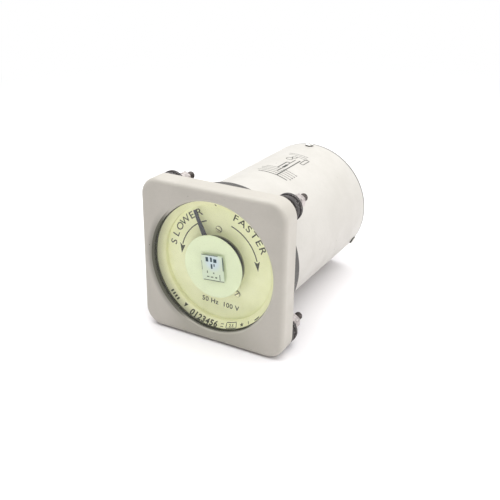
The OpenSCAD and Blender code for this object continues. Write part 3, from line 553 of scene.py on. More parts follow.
def pressed_board(name):
    """Phenolic sheet: dark brown with cloth grain and a satin skin."""
    finish = Finish(name, Coat_Weight=0.2, Coat_Roughness=0.3)
    weave = finish.along(0).ridges(0.57 * MM) * finish.along(2).ridges(0.57 * MM)
    cloud = finish.noise(7.35 * MM, 4, 0.6)
    layers = [(cloud.ramp(0.35, 0.7), (0.12, 0.058, 0.028)), (weave * 0.35, (0.035, 0.018, 0.01))]
    return finish.layered((0.07, 0.032, 0.016), layers, cloud.ramp(0.3, 0.7, 0.35, 0.5), weave, 0.012 * MM)


def vitreous_enamel(name):
    """Glazed wire-wound resistor: green glaze over the turns."""
    finish = Finish(name, Coat_Weight=0.6, Coat_Roughness=0.1)
    turns = finish.along(1).ridges(0.9 * MM)
    cloud = finish.noise(4.08 * MM, 3, 0.6)
    layers = [(cloud.ramp(0.35, 0.7), (0.08, 0.16, 0.1)), (turns.ramp(0.2, 0.9, 1, 0), shade(GLAZE, 0.6))]
    return finish.layered(GLAZE, layers, cloud.ramp(0.3, 0.7, 0.22, 0.4), turns, 0.073 * MM)


def sleeving(name):
    """Varnished cotton sleeving on the leads."""
    finish = Finish(name, Coat_Weight=0.3, Coat_Roughness=0.3)
    braid = finish.along(1).ridges(0.65 * MM) * finish.along(0).ridges(0.41 * MM)
    return finish.layered(
        (0.2, 0.035, 0.02), [(braid, (0.42, 0.12, 0.05))], braid.ramp(0, 1, 0.4, 0.6), braid, 0.041 * MM,
    )


def ruby(name):
    """Ring jewel, cut and polished."""
    finish = Finish(name, Coat_Weight=1.0, Coat_Roughness=0.03)
    depth = finish.noise(0.49 * MM, 3)
    layers = [(depth.ramp(0.3, 0.7), (0.6, 0.02, 0.08))]
    return finish.layered((0.32, 0.006, 0.03), layers, depth.ramp(0.3, 0.7, 0.06, 0.14), depth, 0.003 * MM)


def window_pane(name):
    """Clear glass: see-through head on, with the room's gloss on it at a slant, and a little dust."""
    finish = Finish(name)
    finish.tree.nodes.remove(finish.shader)
    clear = finish.node("ShaderNodeBsdfTransparent", None, {"Color": (0.995, 1.0, 0.985)})
    gloss = finish.node("ShaderNodeBsdfGlossy", None, {"Color": (1, 1, 1), "Roughness": 0.03})
    dust = finish.node("ShaderNodeBsdfDiffuse", None, {"Color": (0.8, 0.81, 0.74)})
    facing = Value(finish, finish.node("ShaderNodeLayerWeight", None, {"Blend": 0.5}).outputs["Facing"])
    film = finish.noise(11.43 * MM, 4, 0.6).ramp(0.35, 0.8, 0.004, 0.02)
    pane = finish.blend(facing ** 5 * 0.9 + 0.02, clear, gloss)
    finish.feed(finish.output.inputs["Surface"], finish.blend(film, pane, dust))
    return finish.material


def paper(name, tone, stamp, stamp_tone):
    """Sticker paper with fibres, a slightly soiled skin and a blue tint round one place."""
    finish = Finish(name, Specular_IOR_Level=0.3)
    fibre = finish.noise(0.65 * MM, 4, 0.7, (1, 1, 2.5))
    stain = finish.noise(5.72 * MM, 3, 0.6)
    layers = [
        (stain.ramp(0.4, 0.75, 0, 0.6), tinted(tone, (0.62, 0.64, 0.5), 0.4)),
        (fibre.ramp(0.5, 0.8, 0, 0.3), shade(tone, 0.85)),
        (finish.reach(stamp).ramp(2.5 * MM, 7.5 * MM, 0.95, 0), stamp_tone),
    ]
    return finish.layered(tone, layers, stain.ramp(0.3, 0.7, 0.45, 0.6), fibre, 0.016 * MM)


# ---------------------------------------------------------------- mesh building

def clock(turn, radius, along=0.0):
    """A point at an angle clockwise from the top, as the reader of the dial sees it."""
    return Vector((radius * math.sin(turn), along, radius * math.cos(turn)))


def skin(mesh, rows, all_round=False):
    """Faces between rows of points, each row a ring. The first and last rows are closed unless they join."""
    for row, following in zip(rows, rows[1:] + rows[:1] if all_round else rows[1:]):
        for k in range(len(row)):
            j = (k + 1) % len(row)
            mesh.faces.new((row[k], row[j], following[j], following[k]))
    if not all_round:
        mesh.faces.new(rows[0])
        mesh.faces.new(rows[-1][::-1])


def about(axis, degrees):
    """A turn about an axis, as a matrix."""
    return Matrix.Rotation(math.radians(degrees), 4, axis)


def spun(outline_at, steps, start=0.0, end=TURN):
    """A closed skin swept round the Y axis, from the closed outline of (radius, y) points at each angle."""
    mesh = bmesh.new()
    whole = abs(end - start - TURN) < 1e-9
    rows = []
    for i in range(steps if whole else steps + 1):
        turn = start + (end - start) * i / steps
        rows.append([mesh.verts.new(clock(turn, radius, y)) for radius, y in outline_at(turn)])
    skin(mesh, rows, whole)
    return closed_up(mesh)


def closed_up(mesh):
    """Joins points that fall together and turns every face outwards."""
    bmesh.ops.remove_doubles(mesh, verts=mesh.verts, dist=TOUCHING)
    bmesh.ops.dissolve_degenerate(mesh, edges=mesh.edges, dist=1e-8)
    bmesh.ops.recalc_face_normals(mesh, faces=mesh.faces)
    return mesh


def turned(outline, steps):
    """A turned piece with one outline all the way round."""
    return spun(lambda turn: outline, steps)


def eased(outline, easing, steps=4):
    """The closed outline with its corners rounded, each point given as (radius, y) or (radius, y, easing)."""
    points = [Vector(p[:2]) for p in outline]
    result = []
    for i, corner in enumerate(points):
        before, after = points[i - 1] - corner, points[(i + 1) % len(points)] - corner
        own = outline[i][2] if len(outline[i]) > 2 else easing
        if own <= 0:
            result.append(tuple(corner))
            continue
        half = before.angle(after) / 2
        reach = min(own / math.tan(half), before.length * 0.49, after.length * 0.49)
        first, last = corner + before.normalized() * reach, corner + after.normalized() * reach
        for k in range(steps + 1):
            t = k / steps
            result.append(tuple(first * (1 - t) ** 2 + corner * 2 * t * (1 - t) + last * t * t))
    return result


def as_data(name, mesh):
    """Turns an edited mesh into mesh data and frees it."""
    data = bpy.data.meshes.new(name)
    mesh.to_mesh(data)
    mesh.free()
    return data


def placed(name, data):
    """A new object in the scene."""
    made = bpy.data.objects.new(name, data)
    bpy.context.scene.collection.objects.link(made)
    return made


def repeated(mesh, places):
    """One mesh with a copy at each place, given as points or matrices."""
    single = as_data("single", mesh)
    whole = bmesh.new()
    for place in places:
        matrix = place if isinstance(place, Matrix) else Matrix.Translation(place)
        count = len(whole.verts)
        whole.from_mesh(single)
        whole.verts.ensure_lookup_table()
        bmesh.ops.transform(whole, matrix=matrix, verts=whole.verts[count:])
    bpy.data.meshes.remove(single)
    return whole


def joined(*meshes):
    """Several meshes as one."""
    whole = bmesh.new()
    for mesh in meshes:
        part = as_data("part", mesh)
        whole.from_mesh(part)
        bpy.data.meshes.remove(part)
    return whole


def publish(name, mesh, finish, slot, *replaced, crease=35):
    """Makes the piece, gives it its finish, and hangs it on the housing."""
    data = as_data(name, mesh)
    data.shade_smooth()
    data.set_sharp_from_angle(angle=math.radians(crease))
    data.materials.append(finish)
    piece = placed(name, data)
    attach(piece, "housing")
    if replaced:
        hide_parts(*replaced)


def dress(finish, *nodes):
    """Gives carried-over nodes their finish."""
    for node in nodes:
        data = NODES[node].data
        data.materials.clear()
        data.materials.append(finish)


def ring(bore, reach, start, end, easing, bore_easing, steps=64, corner_steps=4):
    """A flat ring with its four edges rounded."""
    corners = [(bore, start, bore_easing), (reach, start, easing), (reach, end, easing), (bore, end, bore_easing)]
    return turned(eased(corners, easing, corner_steps), steps)


def nut(flats, height, bore, turn, base, steps=72):
    """Hexagon nut with both faces chamfered and its bore countersunk."""
    face, sink = 0.475 * flats, 0.1 * bore

    def outline(angle_round):
        reach = flats / 2 / math.cos((angle_round - turn) % (TURN / 6) - TURN / 12)
        drop = (reach - face) * math.tan(math.radians(30))
        return [
            (bore, base + sink), (bore + sink, base), (face, base), (reach, base + drop),
            (reach, base + height - drop), (face, base + height),
            (bore + sink, base + height), (bore, base + height - sink),
        ]

    return spun(outline, steps)


def nut_set(name, node, flats, bore, turn, places, finish, steps=72):
    """A nut at each place instead of a node's solids."""
    start, end = ends(node)
    nuts = repeated(nut(flats, end - start, bore, turn, start, steps), places)
    publish(name, nuts, finish, "zinc_steel", node)


def thread(radius, pitch, start, end, steps=28, rows_a_turn=8):
    """Threaded rod with a true helix and a chamfered end."""
    depth = hardware().thread_depth * pitch / MM
    mesh = bmesh.new()
    rows = []
    count = math.ceil((end - start) / pitch * rows_a_turn)
    for i in range(count + 1):
        y = start + (end - start) * i / count
        limit = radius - max(0.0, depth - (end - y))
        row = []
        for k in range(steps):
            phase = (y / pitch - k / steps) % 1
            # 0 at the root and 1 at the crest, both with a small flat
            flank = min(1.0, max(0.0, 1.35 * abs(2 * phase - 1) - 0.15))
            reach = min(radius - depth * (1 - flank), limit)
            row.append(mesh.verts.new(clock(TURN * k / steps, reach, y)))
        rows.append(row)
    skin(mesh, rows)
    return closed_up(mesh)


def slotted_head(radius, height, base, slot, shank_radius, shank_end, dome=0.25, slot_depth=0.42):
    """Screw with its shank along +Y from base and its domed, slotted head towards -Y."""
    rim = base - height * (1 - dome)
    outline = [(0, shank_end), (shank_radius, shank_end), (shank_radius, base), (radius, base), (radius, rim)]
    dome_steps = 6
    for k in range(1, dome_steps + 1):
        swing = k / dome_steps * math.pi / 2
        outline.append((radius * math.cos(swing), rim - height * dome * math.sin(swing)))
    screw = turned(outline, 48)
    # the slot is pressed into the head: points inside it go down to its floor
    for side in (slot / 2, -slot / 2):
        bmesh.ops.bisect_plane(
            screw, geom=screw.verts[:] + screw.edges[:] + screw.faces[:], plane_co=(0, 0, side), plane_no=(0, 0, 1),
        )
    floor = base - height * slot_depth
    head = [face for face in screw.faces if face.calc_center_median().y < base - height * 0.02]
    middle = [face for face in head if abs(face.calc_center_median().z) < slot / 2]
    for item in bmesh.ops.split(screw, geom=middle)["geom"]:
        if isinstance(item, bmesh.types.BMVert):
            item.co.y = max(item.co.y, floor)
    for edge in [e for e in screw.edges if e.is_boundary]:
        if any(abs(abs(v.co.z) - slot / 2) > TOUCHING for v in edge.verts):
            continue
        top = [v.co.copy() for v in edge.verts]
        if all(p.y >= floor - 1e-9 for p in top):
            continue
        bottom = [Vector((p.x, max(p.y, floor), p.z)) for p in top]
        screw.faces.new([screw.verts.new(p) for p in (*top, *reversed(bottom))])
    return closed_up(screw)


def lettering(words, height, spacing=1.0, weight=0.0):
    """Letters as a thin solid in the X-Z plane, facing -Y, centred on the origin."""
    curve = bpy.data.curves.new("letters", "FONT")
    curve.body = words
    curve.align_x, curve.align_y = "CENTER", "CENTER"
    curve.size = height / CAPITAL
    curve.space_character = spacing
    curve.offset = weight
    curve.extrude = sizes().ink_depth / 2
    curve.resolution_u = 4
    holder = placed("letters", curve)
    bpy.context.view_layer.update()
    data = bpy.data.meshes.new_from_object(holder.evaluated_get(bpy.context.evaluated_depsgraph_get()))
    mesh = bmesh.new()
    mesh.from_mesh(data)
    bpy.data.objects.remove(holder)
    bpy.data.curves.remove(curve)
    bpy.data.meshes.remove(data)
    bmesh.ops.remove_doubles(mesh, verts=mesh.verts, dist=TOUCHING)
    bmesh.ops.rotate(mesh, verts=mesh.verts, matrix=Matrix.Rotation(math.pi / 2, 3, "X"))
    heights = [v.co.z for v in mesh.verts]
    bmesh.ops.translate(mesh, verts=mesh.verts, vec=(0, 0, -(min(heights) + max(heights)) / 2))
    return mesh


def slab(points, depth):
    """A flat shape with some thickness, from its outline of (x, z) points, facing -Y."""
    mesh = bmesh.new()
    face = mesh.faces.new([mesh.verts.new((x, -depth, z)) for x, z in points])
    back = bmesh.ops.extrude_face_region(mesh, geom=[face])["geom"]
    bmesh.ops.translate(mesh, verts=[v for v in back if isinstance(v, bmesh.types.BMVert)], vec=(0, depth, 0))
    bmesh.ops.recalc_face_normals(mesh, faces=mesh.faces)
    return mesh


def bar(width, height, depth):
    """A small printed bar centred on the origin, with points close enough to follow a curve."""
    steps = max(1, math.ceil(width / MM))
    along = [width * (k / steps - 0.5) for k in range(steps + 1)]
    return slab([(x, -height / 2) for x in along] + [(x, height / 2) for x in reversed(along)], depth)


def swung(turn, radius, along):
    """The place of something upright at an angle clockwise from the top."""
    return Matrix.Translation(clock(turn, radius, along)) @ Matrix.Rotation(turn, 4, "Y")


def band(radius, width, start, end, depth, along, steps=48):
    """A printed arc on a flat dial."""
    turns = [start + (end - start) * i / steps for i in range(steps + 1)]
    points = [clock(turn, radius + width / 2) for turn in turns]
    points += [clock(turn, radius - width / 2) for turn in reversed(turns)]
    mesh = slab([(p.x, p.z) for p in points], depth)
    bmesh.ops.translate(mesh, verts=mesh.verts, vec=(0, along, 0))
    return mesh


# ---------------------------------------------------------------- pieces on the dial

def arrow(side):
    """One curved arrow on the dial, to the left (-1) or the right (1)."""
    given = sizes()
    radius, depth = given.arrow_radius, given.ink_depth
    neck = given.arrow_end - given.head_length / radius
    line = band(radius, given.arrow_width, side * given.arrow_start, side * neck, depth, DIAL_FACE)
    tip = clock(side * given.arrow_end, radius)
    wings = [clock(side * neck, radius + reach * given.head_width / 2) for reach in (1, -1)]
    notch = clock(side * (neck + 0.18 * given.head_length / radius), radius)
    head = slab([(p.x, p.z) for p in (tip, wings[0], notch, wings[1])], depth)
    bmesh.ops.translate(head, verts=head.verts, vec=(0, DIAL_FACE, 0))
    return joined(line, head)


def curved_word(word, start, end):
    """A word whose letters stand on a circle, from one angle to another."""
    given = sizes()
    letters = []
    for i, letter in enumerate(word):
        turn = start + (end - start) * (i + 0.5) / len(word)
        sign = lettering(letter, given.word_height, weight=given.word_weight)
        widen = Matrix.Scale(given.word_stretch, 4, (1, 0, 0))
        place = swung(turn, given.word_radius, DIAL_FACE - given.ink_depth / 2)
        bmesh.ops.transform(sign, matrix=place @ widen, verts=sign.verts)
        letters.append(sign)
    return joined(*letters)


def on_dish(mesh, turn, radius):
    """Lays a flat mark on the slope of the dished rim."""
    given = sizes()
    edge_y = high("window_seal").y
    slope = math.atan2(given.dish_foot_y - edge_y, given.dish_edge - given.dish_foot)
    share = (given.dish_edge - radius) / (given.dish_edge - given.dish_foot)
    along = edge_y + share * (given.dish_foot_y - edge_y)
    upright = -1 if math.cos(turn) < 0 else 1
    front = min(v.co.y for v in mesh.verts)
    for v in mesh.verts:
        # the print is three times as thick as on the flat dial, and a third of it lies in the paint
        inward, up = (v.co.y - front) * 3 - 2 * given.ink_depth, upright * v.co.z
        reach = radius + inward * math.sin(slope) + up * math.cos(slope)
        place = along + inward * math.cos(slope) - up * math.sin(slope)
        v.co = clock(turn + upright * v.co.x / reach, reach, place)
    return mesh


class METER_OT_dial(bpy.types.Operator):
    """Paints the dial and prints its arrows, words, figures and marks"""

    bl_idname = "meter.dial"
    bl_label = "Dial"

    def execute(self, context):
        given, tones = sizes(), paints()
        ink = printed_ink("dial_ink", tones.ink)
        circle, spread = self.screw_circle()
        seats = [clock(turn, circle, DIAL_FACE) for turn in (0, spread, -spread)]
        dress(matt_paint("dial_cream", tones.dial, (0.72, 0.73, 0.4), given.hole_radius, seats=seats), "dial_plate")
        dress(matt_paint("dish_cream", tones.dish, (0.66, 0.67, 0.34), rim=given.dish_edge), "dial_rim")
        publish("dial_arrows", joined(arrow(-1), arrow(1)), ink, "pointer_paint")
        words = joined(
            curved_word("SLOWER", math.radians(-83), math.radians(-19.5)),
            curved_word("FASTER", math.radians(16), math.radians(68)),
        )
        publish("direction_words", words, ink, "pointer_paint")
        rating = lettering("50 Hz  100 V", given.rating_height, spacing=1.1, weight=0.09 * MM)
        place = Matrix.Translation((0.82 * MM, DIAL_FACE - given.ink_depth / 2, -given.rating_drop))
        bmesh.ops.transform(rating, matrix=place @ about("Y", 3), verts=rating.verts)
        publish("rating_figures", rating, ink, "pointer_paint")
        publish("dish_marks", self.dish_marks(), ink, "pointer_paint")
        # painted shade on each dial screw: the slot's floor and the head's sides, deeper than about 0.4 mm behind
        # the head's top
        foot = low("dial_screws").y + 0.3 * MM
        nickel = plated_metal(
            "dial_screw_nickel", (0.9, 0.88, 0.66), (0.7, 0.68, 0.46), 0.4, 1.63 * MM,
            painted_shade=lambda finish: finish.along(1).ramp(foot, foot + 0.1 * MM, 0, 0.85),
        )
        publish("dial_screw_set", self.screws(), nickel, "dark_steel", "dial_screws")
        dress(brass("turned_brass", 0.6, 0.28), "dial_pillars")
        return {"FINISHED"}

    def dish_marks(self):
        """The tick at the top of the dished rim, and plain figures and signs along its bottom."""
        depth = sizes().ink_depth
        # Bars: width, height, clock angle and radius, in mm and degrees
        bars = [(1.2, 1.9, 232 - 3 * k, 39.4) for k in range(4)] + [
            (0.9, 1.6, 0, 37.9), (2, 0.4, 172.7, 38.6), (2, 0.4, 172.7, 39.9),
            (7.2, 0.45, 163, 37.7), (7.2, 0.45, 163, 40.4), (0.45, 2.9, 157.7, 39.1), (0.45, 2.9, 168.3, 39.1),
            (0.4, 2.1, 143.6, 39.5), (4.4, 0.75, 132.8, 40),
        ]
        wedge = [(-1.3 * MM, 1.3 * MM), (1.3 * MM, 1.3 * MM), (0, -1.3 * MM)]
        marks = [
            (lettering(figure, 3.7 * MM, weight=0.18 * MM), 205 - 4.25 * k, 39.3)
            for k, figure in enumerate("0123456")
        ]
        marks += [(bar(wide * MM, tall * MM, depth), degrees, radius) for wide, tall, degrees, radius in bars]
        marks.append((lettering("2.5", 2 * MM, weight=0.05 * MM), 163, 39.2))
        marks.append((slab(wedge, depth), 214, 39))
        marks.append((slab(self.star(1.5 * MM), depth), 151.4, 39.4))
        return joined(*(on_dish(mark, math.radians(degrees), radius * MM) for mark, degrees, radius in marks))

    def star(self, radius):
        """The outline of a five-pointed star."""
        points = [clock(TURN * k / 10, radius * (0.45 if k % 2 else 1)) for k in range(10)]
        return [(point.x, point.z) for point in points]

    def screw_circle(self):
        """The radius of the dial screws' circle, and the angle from the top screw to the others."""
        circle = high("dial_screws").z - DIAL_SCREW_HEAD
        return circle, math.acos((low("dial_screws").z + DIAL_SCREW_HEAD) / circle)

    def screws(self):
        """The three slotted screws that hold the dial."""
        circle, spread = self.screw_circle()
        top, shank_end = ends("dial_screws")
        height, slot, shank = DIAL_FACE - top, hardware().slot_width, 1.0 * MM
        screw = slotted_head(DIAL_SCREW_HEAD, height, DIAL_FACE, slot, shank, shank_end)
        spots = [
            Matrix.Translation(clock(turn, circle)) @ about("Y", slot_turn)
            for turn, slot_turn in ((0, 25), (spread, -40), (-spread, 70))
        ]
        return repeated(screw, spots)


class METER_OT_window(bpy.types.Operator):
    """Glazes the window and adds the masking disc and the sticker"""

    bl_idname = "meter.window"
    bl_label = "Window"

    def execute(self, context):
        dress(window_pane("clear_pane"), "window_glass")
        dress(black_rubber("seal_rubber_skin", (0.07, 0.072, 0.045)), "window_seal")
        self.disc()
        self.sticker()
        return {"FINISHED"}

    def disc(self):
        """The masking disc, with its edges broken and a hair's gap between it and the glass."""
        gap, rim = 0.03 * MM, high("centre_disc").z
        glass, back = ends("centre_disc")
        front = glass + gap
        outline = [(rim - gap, back), (rim, back - gap), (rim, front + gap), (rim - gap, front)]
        paint = matt_paint("disc_back_paint", paints().disc, (0.66, 0.72, 0.5))
        publish("masking_disc", turned([(0, back), *outline, (0, front)], 192), paint, "disc_paint", "centre_disc")

    def sticker(self):
        """Faded paper sticker on the glass: worn border lines, blue blocks and small grey marks."""
        given, tones = hardware(), paints()
        width, height, depth = given.sticker_width, given.sticker_height, 0.05 * MM
        x, z = width / 2, height / 2
        outline = eased([(-x, -z), (x, -z), (x, z), (-x, z)], 0.65 * MM)
        centre = Vector((given.sticker_shift, GLASS_FRONT, 0))
        place = Matrix.Translation(centre) @ Matrix.Rotation(-given.sticker_tilt, 4, "Y")
        sheet = slab(outline, depth)
        bmesh.ops.transform(sheet, matrix=place, verts=sheet.verts)
        stamp = place @ Vector((0.3 * MM, 0, 4 * MM))
        finish = paper("sticker_paper", tones.sticker, stamp, tones.stamp)
        publish("window_sticker", sheet, finish, "disc_paint")
        # Each mark: across, up, width, height in mm from the sticker's centre
        # The last block, a dark bar down the right edge, and the first worn line, along the top edge, are partly
        # printed border and partly painted shadow of the sticker's edge
        blocks = (
            (-3.5, 5.2, 1.8, 2.8), (-0.6, 5.3, 1.3, 2.8), (2, 4.8, 2.2, 2.3),
            (-0.6, 1, 1.2, 3), (1.2, 1.9, 0.8, 1.6), (7.3, 3.4, 0.6, 8.6),
        )
        worn = (
            (-1.4, 8, 11.2, 0.5), (4.6, -5.5, 0.5, 3.6), (0.2, -8, 14.2, 0.5), (-7.3, 1.2, 0.3, 6),
            (-3.6, -5.8, 1.6, 0.7), (-0.9, -5.9, 1.8, 0.7), (2, -5.9, 1.4, 0.9),
            (-3.9, -2.8, 0.7, 1.5), (0.5, -3.2, 0.9, 0.9),
        )
        prints = (("sticker_blocks", blocks, tones.sticker_ink), ("sticker_lines", worn, tones.sticker_line))
        for name, marks, tone in prints:
            printed = []
            for across, up, wide, tall in marks:
                mark = bar(wide * MM, tall * MM, 0.25 * depth)
                lift = Matrix.Translation((across * MM, -depth, up * MM))
                bmesh.ops.transform(mark, matrix=place @ lift, verts=mark.verts)
                printed.append(mark)
            publish(name, joined(*printed), printed_ink(name + "_ink", tone), "pointer_paint")


class METER_OT_pointer(bpy.types.Operator):
    """Finishes the pointer, its hub and weight, the spindle, the balance and the iron armature"""

    bl_idname = "meter.pointer"
    bl_label = "Pointer and moving system"

    def execute(self, context):
        dress(enamel("pointer_enamel", paints().pointer, (0.12, 0.12, 0.14)), "pointer")
        steel = plated_metal("ground_steel", (0.56, 0.56, 0.55), (0.36, 0.35, 0.34), 0.18, 6.53 * MM, (1, 6, 1))
        dress(steel, "spindle", "tail_weight")
        dress(brass("balance_brass", 0.65, 0.25), "pointer_hub", "balance_cross", "balance_weights")
        dress(stacked_iron("armature_iron"), "armature")
        return {"FINISHED"}


class METER_OT_bezel(bpy.types.Operator):
    """Paints the cast bezel"""

    bl_idname = "meter.bezel"
    bl_label = "Bezel"

    def execute(self, context):
        dress(enamel("bezel_enamel", paints().bezel, (0.26, 0.25, 0.2), lip=sizes().lip_outer), "bezel")
        return {"FINISHED"}


# ---------------------------------------------------------------- case and fixings

def on_case(y, turn_degrees, lift=0.0):
    """A point on the outside of the case."""
    return clock(math.radians(turn_degrees), CASE_RADIUS + lift, y * MM)


def case_line(points, width, lift):
    """A printed line on the case through (y in mm, degrees) points, following its curve."""
    mesh = bmesh.new()
    for (y0, a0), (y1, a1) in zip(points, points[1:]):
        run = Vector((y1 - y0, math.radians(a1 - a0) * CASE_RADIUS / MM))
        side = Vector((-run.y, run.x)).normalized() * (width / MM / 2)
        steps = max(1, math.ceil(abs(a1 - a0) / 2))
        rows = []
        for i in range(steps + 1):
            y, a = y0 + (y1 - y0) * i / steps, a0 + (a1 - a0) * i / steps
            row = []
            for sign in (1, -1):
                across = math.degrees(sign * side.y * MM / CASE_RADIUS)
                for height in (lift, -PRINT_SUNK)[::sign]:
                    row.append(mesh.verts.new(on_case(y + sign * side.x, a + across, height)))
            rows.append(row)
        skin(mesh, rows)
    bmesh.ops.recalc_face_normals(mesh, faces=mesh.faces)
    return mesh


def case_box(y, turn, long, wide):
    """The outline of a box on the case, centred on (y, turn), long along the case and wide round it, in mm."""
    half = math.degrees(wide / 2 * MM / CASE_RADIUS)
    signs = ((-1, -1), (1, -1), (1, 1), (-1, 1), (-1, -1))
    return [(y + a * long / 2, turn + b * half) for a, b in signs]


def case_ring(y, turn, radius, steps=20):
    """A circle on the case, radius in mm."""
    swings = [TURN * k / steps for k in range(steps + 1)]
    wide = math.degrees(radius * MM / CASE_RADIUS)
    return [(y + radius * math.cos(swing), turn + wide * math.sin(swing)) for swing in swings]


class METER_OT_case(bpy.types.Operator):
    """Paints the case and collar, prints the connection diagram, and fits the rear screws"""

    bl_idname = "meter.case"
    bl_label = "Case"

    def execute(self, context):
        tones = paints()
        dress(enamel("case_enamel", tones.case, (0.3, 0.28, 0.22), CASE_END - 1.3 * MM), "case_tube")
        dress(enamel("dish_enamel", tones.case, (0.3, 0.28, 0.22)), "rear_dish")
        black = blackened_steel("collar_black_finish", (0.074, 0.07, 0.066), (0.13, 0.124, 0.115), 0.55)
        dress(black, "case_collar")
        dress(plated_metal("grub_steel", (0.4, 0.39, 0.37), (0.2, 0.19, 0.18), 0.3), "collar_grubs")
        self.diagram()
        self.rear_screws()
        return {"FINISHED"}

    def diagram(self):
        """A plain connection diagram: eight lines round the case, four along it, and a few symbols."""
        lift, fine = sizes().ink_depth, sizes().line_width
        bold = 2 * fine
        printed = []

        def draw(points, width=fine):
            """Draws through points given as mm along the case and degrees round it."""
            printed.append(case_line(points, width, lift))

        draw([(51.5, -5), (51.5, 23)], bold)
        for k in range(4):
            y = 54.6 + 2.9 * k
            draw([(y, -8 + 2 * (k % 2)), (y, 22.5)])
            draw(case_ring(y, 24, 0.5), 0.8 * fine)
        draw([(51.5, 12.6), (85.5, 12.6)], bold)
        draw([(58, 8.6), (84.5, 8.6)], fine * 1.4)
        draw([(63.3, 5), (77, 5), (77, 8.6)], bold)
        draw([(66, 8.6), (72.2, 8.6)], 4 * fine)
        for y, turn, radius in ((84.5, 2.5, 2.2), (88.5, 5, 1.6)):
            draw(case_ring(y, turn, radius), fine * 1.3)
        for y, start, end in ((90.5, 6, 17), (93.2, -4, 15), (95.8, -5, 14)):
            draw([(y, start), (y, end)])
        draw(case_box(86.5, 16.4, 9.5, 2.6), fine * 1.3)
        ink = printed_ink("case_ink", paints().case_ink)
        publish("connection_diagram", joined(*printed), ink, "pointer_paint")

    def rear_screws(self):
        """The three slotted screws through the case into the rear dish."""
        start, end = ends("rear_screws")
        head_height = high("rear_screws").z - CASE_RADIUS
        screw = slotted_head((end - start) / 2, head_height, 0, hardware().slot_width, 1.23 * MM, 2.78 * MM, 0.35)
        seat = Matrix.Translation((0, (start + end) / 2, CASE_RADIUS)) @ about("X", -90)
        turns = ((0, 35), (120, 80), (240, 10))
        spots = [about("Y", turn) @ seat @ about("Y", slot_turn) for turn, slot_turn in turns]
        # painted shade on each rear screw: the slot's floor and the lower six tenths of the head
        floor = CASE_RADIUS + 0.6 * head_height
        steel = plated_metal(
            "rear_screw_steel", (0.84, 0.83, 0.8), (0.6, 0.59, 0.56), 0.4, 2 * MM,
            painted_shade=lambda finish: finish.radius().ramp(floor, floor + 0.12 * MM, 0.9, 0),
        )
        publish("rear_screw_set", repeated(screw, spots), steel, "dark_steel", "rear_screws")


def four_corners(reach):
    """Four places in a square round the axis, this far across and this far up."""
    return [Vector((x * reach, 0, z * reach)) for x in (-1, 1) for z in (-1, 1)]


class METER_OT_fixings(bpy.types.Operator):
    """Makes the threaded studs, ribbed buffers, washers, split spring washers and chamfered nuts"""

    bl_idname = "meter.fixings"
    bl_label = "Panel fixings"

    def execute(self, context):
        places = four_corners(STUD_PLACE)
        brown = blackened_steel("stud_brown_finish", (0.09, 0.077, 0.072), (0.38, 0.345, 0.325))
        publish("mounting_stud_set", repeated(self.stud(), places), brown, "stud_black", "mounting_studs")
        rubber = black_rubber("buffer_rubber_skin", (0.04, 0.036, 0.036), 0.5)
        publish("buffer_set", repeated(self.buffer(), places), rubber, "buffer_rubber", "stud_buffers", crease=50)
        plate = zinc("zinc_plate", 0.55, 0.32)
        bore = hardware().stud_thread + WASHER_ROOM
        washers = repeated(self.washer(bore), places)
        publish("washer_set", washers, plate, "zinc_steel", "stud_washers")
        springs = repeated(self.spring_washer(bore), places)
        publish("spring_washer_set", springs, plate, "zinc_steel", "stud_spring_washers")
        for name, node, turn in (("nut_set", "stud_nuts", TURN / 4), ("locknut_set", "stud_locknuts", 0)):
            flats = 2 * (min(high(node).x, high(node).z) - STUD_PLACE)
            nut_set(name, node, flats, hardware().stud_thread + NUT_ROOM, turn, places, plate)
        return {"FINISHED"}

    def stud(self):
        """Stud with a plain root and shoulder, threaded where the fixings go."""
        radius, thread_radius = mount_sizes("mounting_studs")["stud_r_mm"], hardware().stud_thread
        root, shoulder = low("mounting_studs").y, 0.85 * low("stud_buffers").y
        chamfer, small = 0.49 * MM, 0.163 * MM
        plain = turned([
            (0, root), (thread_radius - chamfer, root), (thread_radius, root + chamfer), (thread_radius, 0),
            (radius, 0), (radius, shoulder - small), (radius - small, shoulder), (0, shoulder),
        ], 48)
        return joined(plain, thread(thread_radius, hardware().stud_pitch, shoulder, high("mounting_studs").y))

    def buffer(self):
        """Grooved rubber buffer."""
        start, end = ends("stud_buffers")
        reach, bore = high("stud_buffers").x - STUD_PLACE, 2.55 * MM
        waist, third = reach - 0.82 * MM, (end - start) / 3
        soft, lip, fine = 0.73 * MM, 0.33 * MM, 0.24 * MM
        return turned(eased([
            (bore, start, fine), (reach, start, soft), (reach, start + third, lip), (waist, start + third, fine),
            (waist, end - third, fine), (reach, end - third, lip), (reach, end, soft), (bore, end, fine),
        ], soft), 64)

    def washer(self, bore):
        """Plain washer with its outer edges broken."""
        reach = high("stud_washers").x - STUD_PLACE
        return ring(bore, reach, *ends("stud_washers"), hardware().edge_round, bore_easing=0.082 * MM)

    def spring_washer(self, bore):
        """Split spring washer: a square ring with a slanted cut, its ends sprung apart."""
        start, end = ends("stud_spring_washers")
        reach = high("stud_spring_washers").x - STUD_PLACE
        spring, gap = 0.25 * (end - start), math.radians(7)

        def outline(turn):
            rise = spring * (turn - gap) / (TURN - 2 * gap)
            front, back = start + rise, end - spring + rise
            return eased([(bore, front), (reach, front), (reach, back), (bore, back)], 0.163 * MM, 2)

        return spun(outline, 60, gap, TURN - gap)


# ---------------------------------------------------------------- back of the case

def terminal_turns():
    """The clock angles of the terminals."""
    return [math.radians(30) + TURN * k / TERMINAL_COUNT for k in range(TERMINAL_COUNT)]


